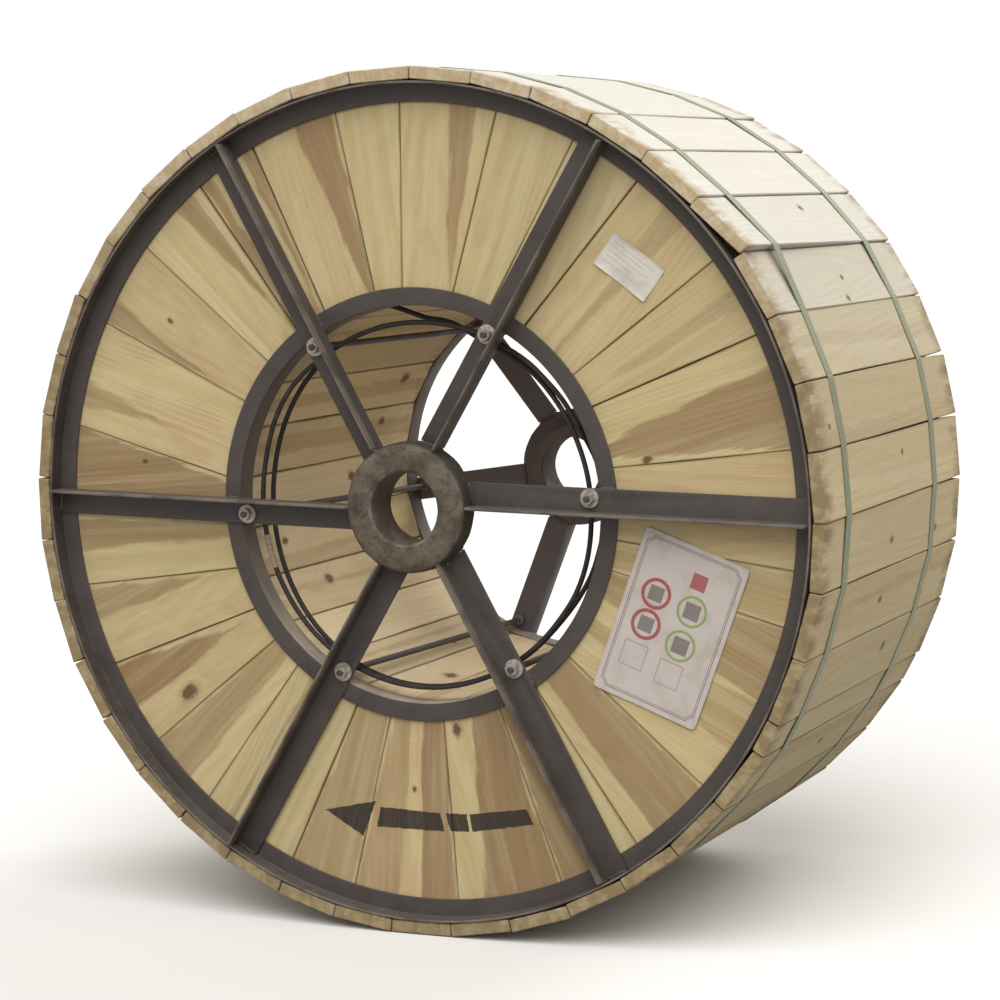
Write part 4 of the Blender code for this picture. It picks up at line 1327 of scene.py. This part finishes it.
# Places along the coiled cable end: how far round, its depth, and how far inside the tie rods. A
# negative one is a bulge between two rods.
TAIL_ROUTE = (
    (0.0, 0.086, 0.0), (24.0, 0.082, 0.0), (45.0, 0.058, 0.010), (68.0, 0.060, 0.0065),
    (88.0, 0.060, 0.006), (107.0, 0.059, 0.004), (137.0, 0.060, 0.0), (150.0, 0.053, 0.0),
    (202.0, 0.046, 0.0), (300.0, 0.062, 0.0), (328.0, 0.050, 0.0), (350.0, 0.056, 0.004),
    (385.0, 0.058, 0.004), (409.0, 0.050, 0.0), (425.0, 0.044, -0.006), (440.0, 0.052, -0.007),
    (462.0, 0.100, 0.0003), (472.0, 0.108, 0.0), (488.0, 0.098, 0.0), (515.0, 0.064, 0.0),
    (562.0, 0.057, 0.0), (660.0, 0.096, 0.0), (705.0, 0.084, 0.0),
)
TAIL_START = 110.0
TAIL_SWEEP = 705.0
TAIL_POINTS = 420
ENTRY_SWEEP = 24.0
TAIL_SIDES = 16
TAPE_SWEEP = (268.0, 279.0)
TAPE_POINTS = 48
TAPE_LENGTH = 0.06
TAPE_THICKNESS = 0.0006


def tail_point(sweep):
    """A place on the middle line of the coiled cable end."""
    for (start, *before), (stop, *after) in zip(TAIL_ROUTE, TAIL_ROUTE[1:]):
        if sweep <= stop:
            t = smooth_step((sweep - start) / (stop - start))
            depth, inset = [b + (a - b) * t for b, a in zip(before, after)]
            break
    resting = ROD_CIRCLE - ROD_RADIUS - CABLE_RADIUS - GAP
    entry = RING_RADIUS + STAVE_THICKNESS - CABLE_RADIUS
    radius = entry + (resting - entry) * smooth_step(sweep / ENTRY_SWEEP) - inset
    return on(FRONT, radius, TAIL_START - sweep, depth)


def make_tail(material, tape_material):
    """The cable's inner end, coiled inside the tie rods, with a length of tape on it."""
    path = [tail_point(TAIL_SWEEP * i / (TAIL_POINTS - 1)) for i in range(TAIL_POINTS)]
    tip = CABLE_RADIUS * 0.8
    bm = bmesh.new()
    add_tube(bm, path, [tip, *[CABLE_RADIUS] * (TAIL_POINTS - 2), tip], TAIL_SIDES)
    add_mesh("coiled_end", bm, material, 50.0, "cable_jacket", "cable_tail")

    path, radii, fields = [], [], []
    for i in range(TAPE_POINTS + 1):
        t = i / TAPE_POINTS
        path.append(tail_point(TAPE_SWEEP[0] + (TAPE_SWEEP[1] - TAPE_SWEEP[0]) * t))
        radii.append(CABLE_RADIUS + TAPE_THICKNESS * (1 + i % 8 / 8))
        fields += [(TAPE_LENGTH * t, 0.0, 0.0)] * TAIL_SIDES
    bm = bmesh.new()
    add_tube(bm, path, radii, TAIL_SIDES)
    mesh = add_mesh("wrapped_tape", bm, tape_material, 30.0, "white_card")
    write_field(mesh, "run", fields)


SHEET_COLUMNS = 24
SHEET_ROWS = 30


def make_sheet(name, node, slot, size, thickness, corner, curl, material):
    """A card or label as a thin sheet with round corners that curls a little off the planks."""
    low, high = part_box(node)
    width, height = size
    plain = plain_solid(node)
    run = long_run(plain)
    plain.free()
    if width > height:
        right = run * math.copysign(1.0, run.x)
        up = Vector((-right.z, 0.0, right.x))
    else:
        up = run * math.copysign(1.0, run.z)
        right = Vector((up.z, 0.0, -up.x))
    phase = rng.uniform(0.0, 6.0)
    bm = bmesh.new()
    loops, fields = [], []
    for j in range(SHEET_ROWS + 1):
        loop = []
        for face, columns in ((1, range(SHEET_COLUMNS + 1)), (0, range(SHEET_COLUMNS, -1, -1))):
            for i in columns:
                u, v = width * (i / SHEET_COLUMNS - 0.5), height * (j / SHEET_ROWS - 0.5)
                du, dv = abs(u) - width / 2 + corner, abs(v) - height / 2 + corner
                if du > 0 and dv > 0:
                    drawn_in = 1 - max(du, dv) / math.hypot(du, dv)
                    u -= math.copysign(du * drawn_in, u)
                    v -= math.copysign(dv * drawn_in, v)
                rim = max(abs(u) / width, abs(v) / height) * 2
                wave = 1.2 + math.sin(7 * u / width + 5 * v / height + phase)
                lift = curl * max(0.0, rim - 0.72) ** 2 * wave + thickness * face
                lift += 0.0003 * (1 + noise.noise(Vector((u * 30, v * 30, phase))))
                spot = (low + high) / 2 + right * u + up * v
                loop.append(bm.verts.new((spot.x, high.y - lift, spot.z)))
                fields.append((u, v, 0.0))
        loops.append(loop)
    add_slab_skin(bm, loops)
    mesh = add_mesh(name, bm, material, 40.0, slot, node)
    write_field(mesh, "sheet", fields)


# ---------------------------------------------------------------- the reel

def main():
    make_camera()
    make_light()
    make_floor()

    steel = dark_steel()
    bushing = hub_steel()
    strap = strapping()
    make_planks(FRONT, timber("flange_planks_front_finish", FLANGE_WOOD, arrow_paint))
    make_planks(REAR, timber("flange_planks_rear_finish", FLANGE_WOOD))
    make_barrel(timber("barrel_finish", BARREL_WOOD))
    boards = make_lagging(timber("lagging_finish", LAGGING_WOOD))
    for name in ("strap_front", "strap_rear"):
        make_strap(name, boards, strap)
    for side in SIDES:
        make_rings(side, steel)
        make_hub(side, bushing)
        make_spokes(side, steel)
    make_rods(zinc(), steel)
    make_tail(jacket("black_jacket"), tape())
    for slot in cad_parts["cable_winding"].material_slots:
        slot.link = "OBJECT"
        slot.material = jacket("wound_cable", True)
    card = printed("card_finish", srgb(196, 187, 182), srgb(170, 158, 148), CARD_SIZE,
                   CARD_PRINTS, CARD_BORDERS)
    make_sheet("card", "placard", "white_card", CARD_SIZE, 0.0008, 0.006, 0.010, card)
    label = printed("label_finish", srgb(212, 206, 198), srgb(176, 168, 158), LABEL_SIZE,
                    rules=LABEL_RULES)
    make_sheet("label", "paper_label", "label_paper", LABEL_SIZE, 0.0004, 0.002, 0.014, label)

    bpy.context.scene.view_settings.view_transform = "Standard"


main()
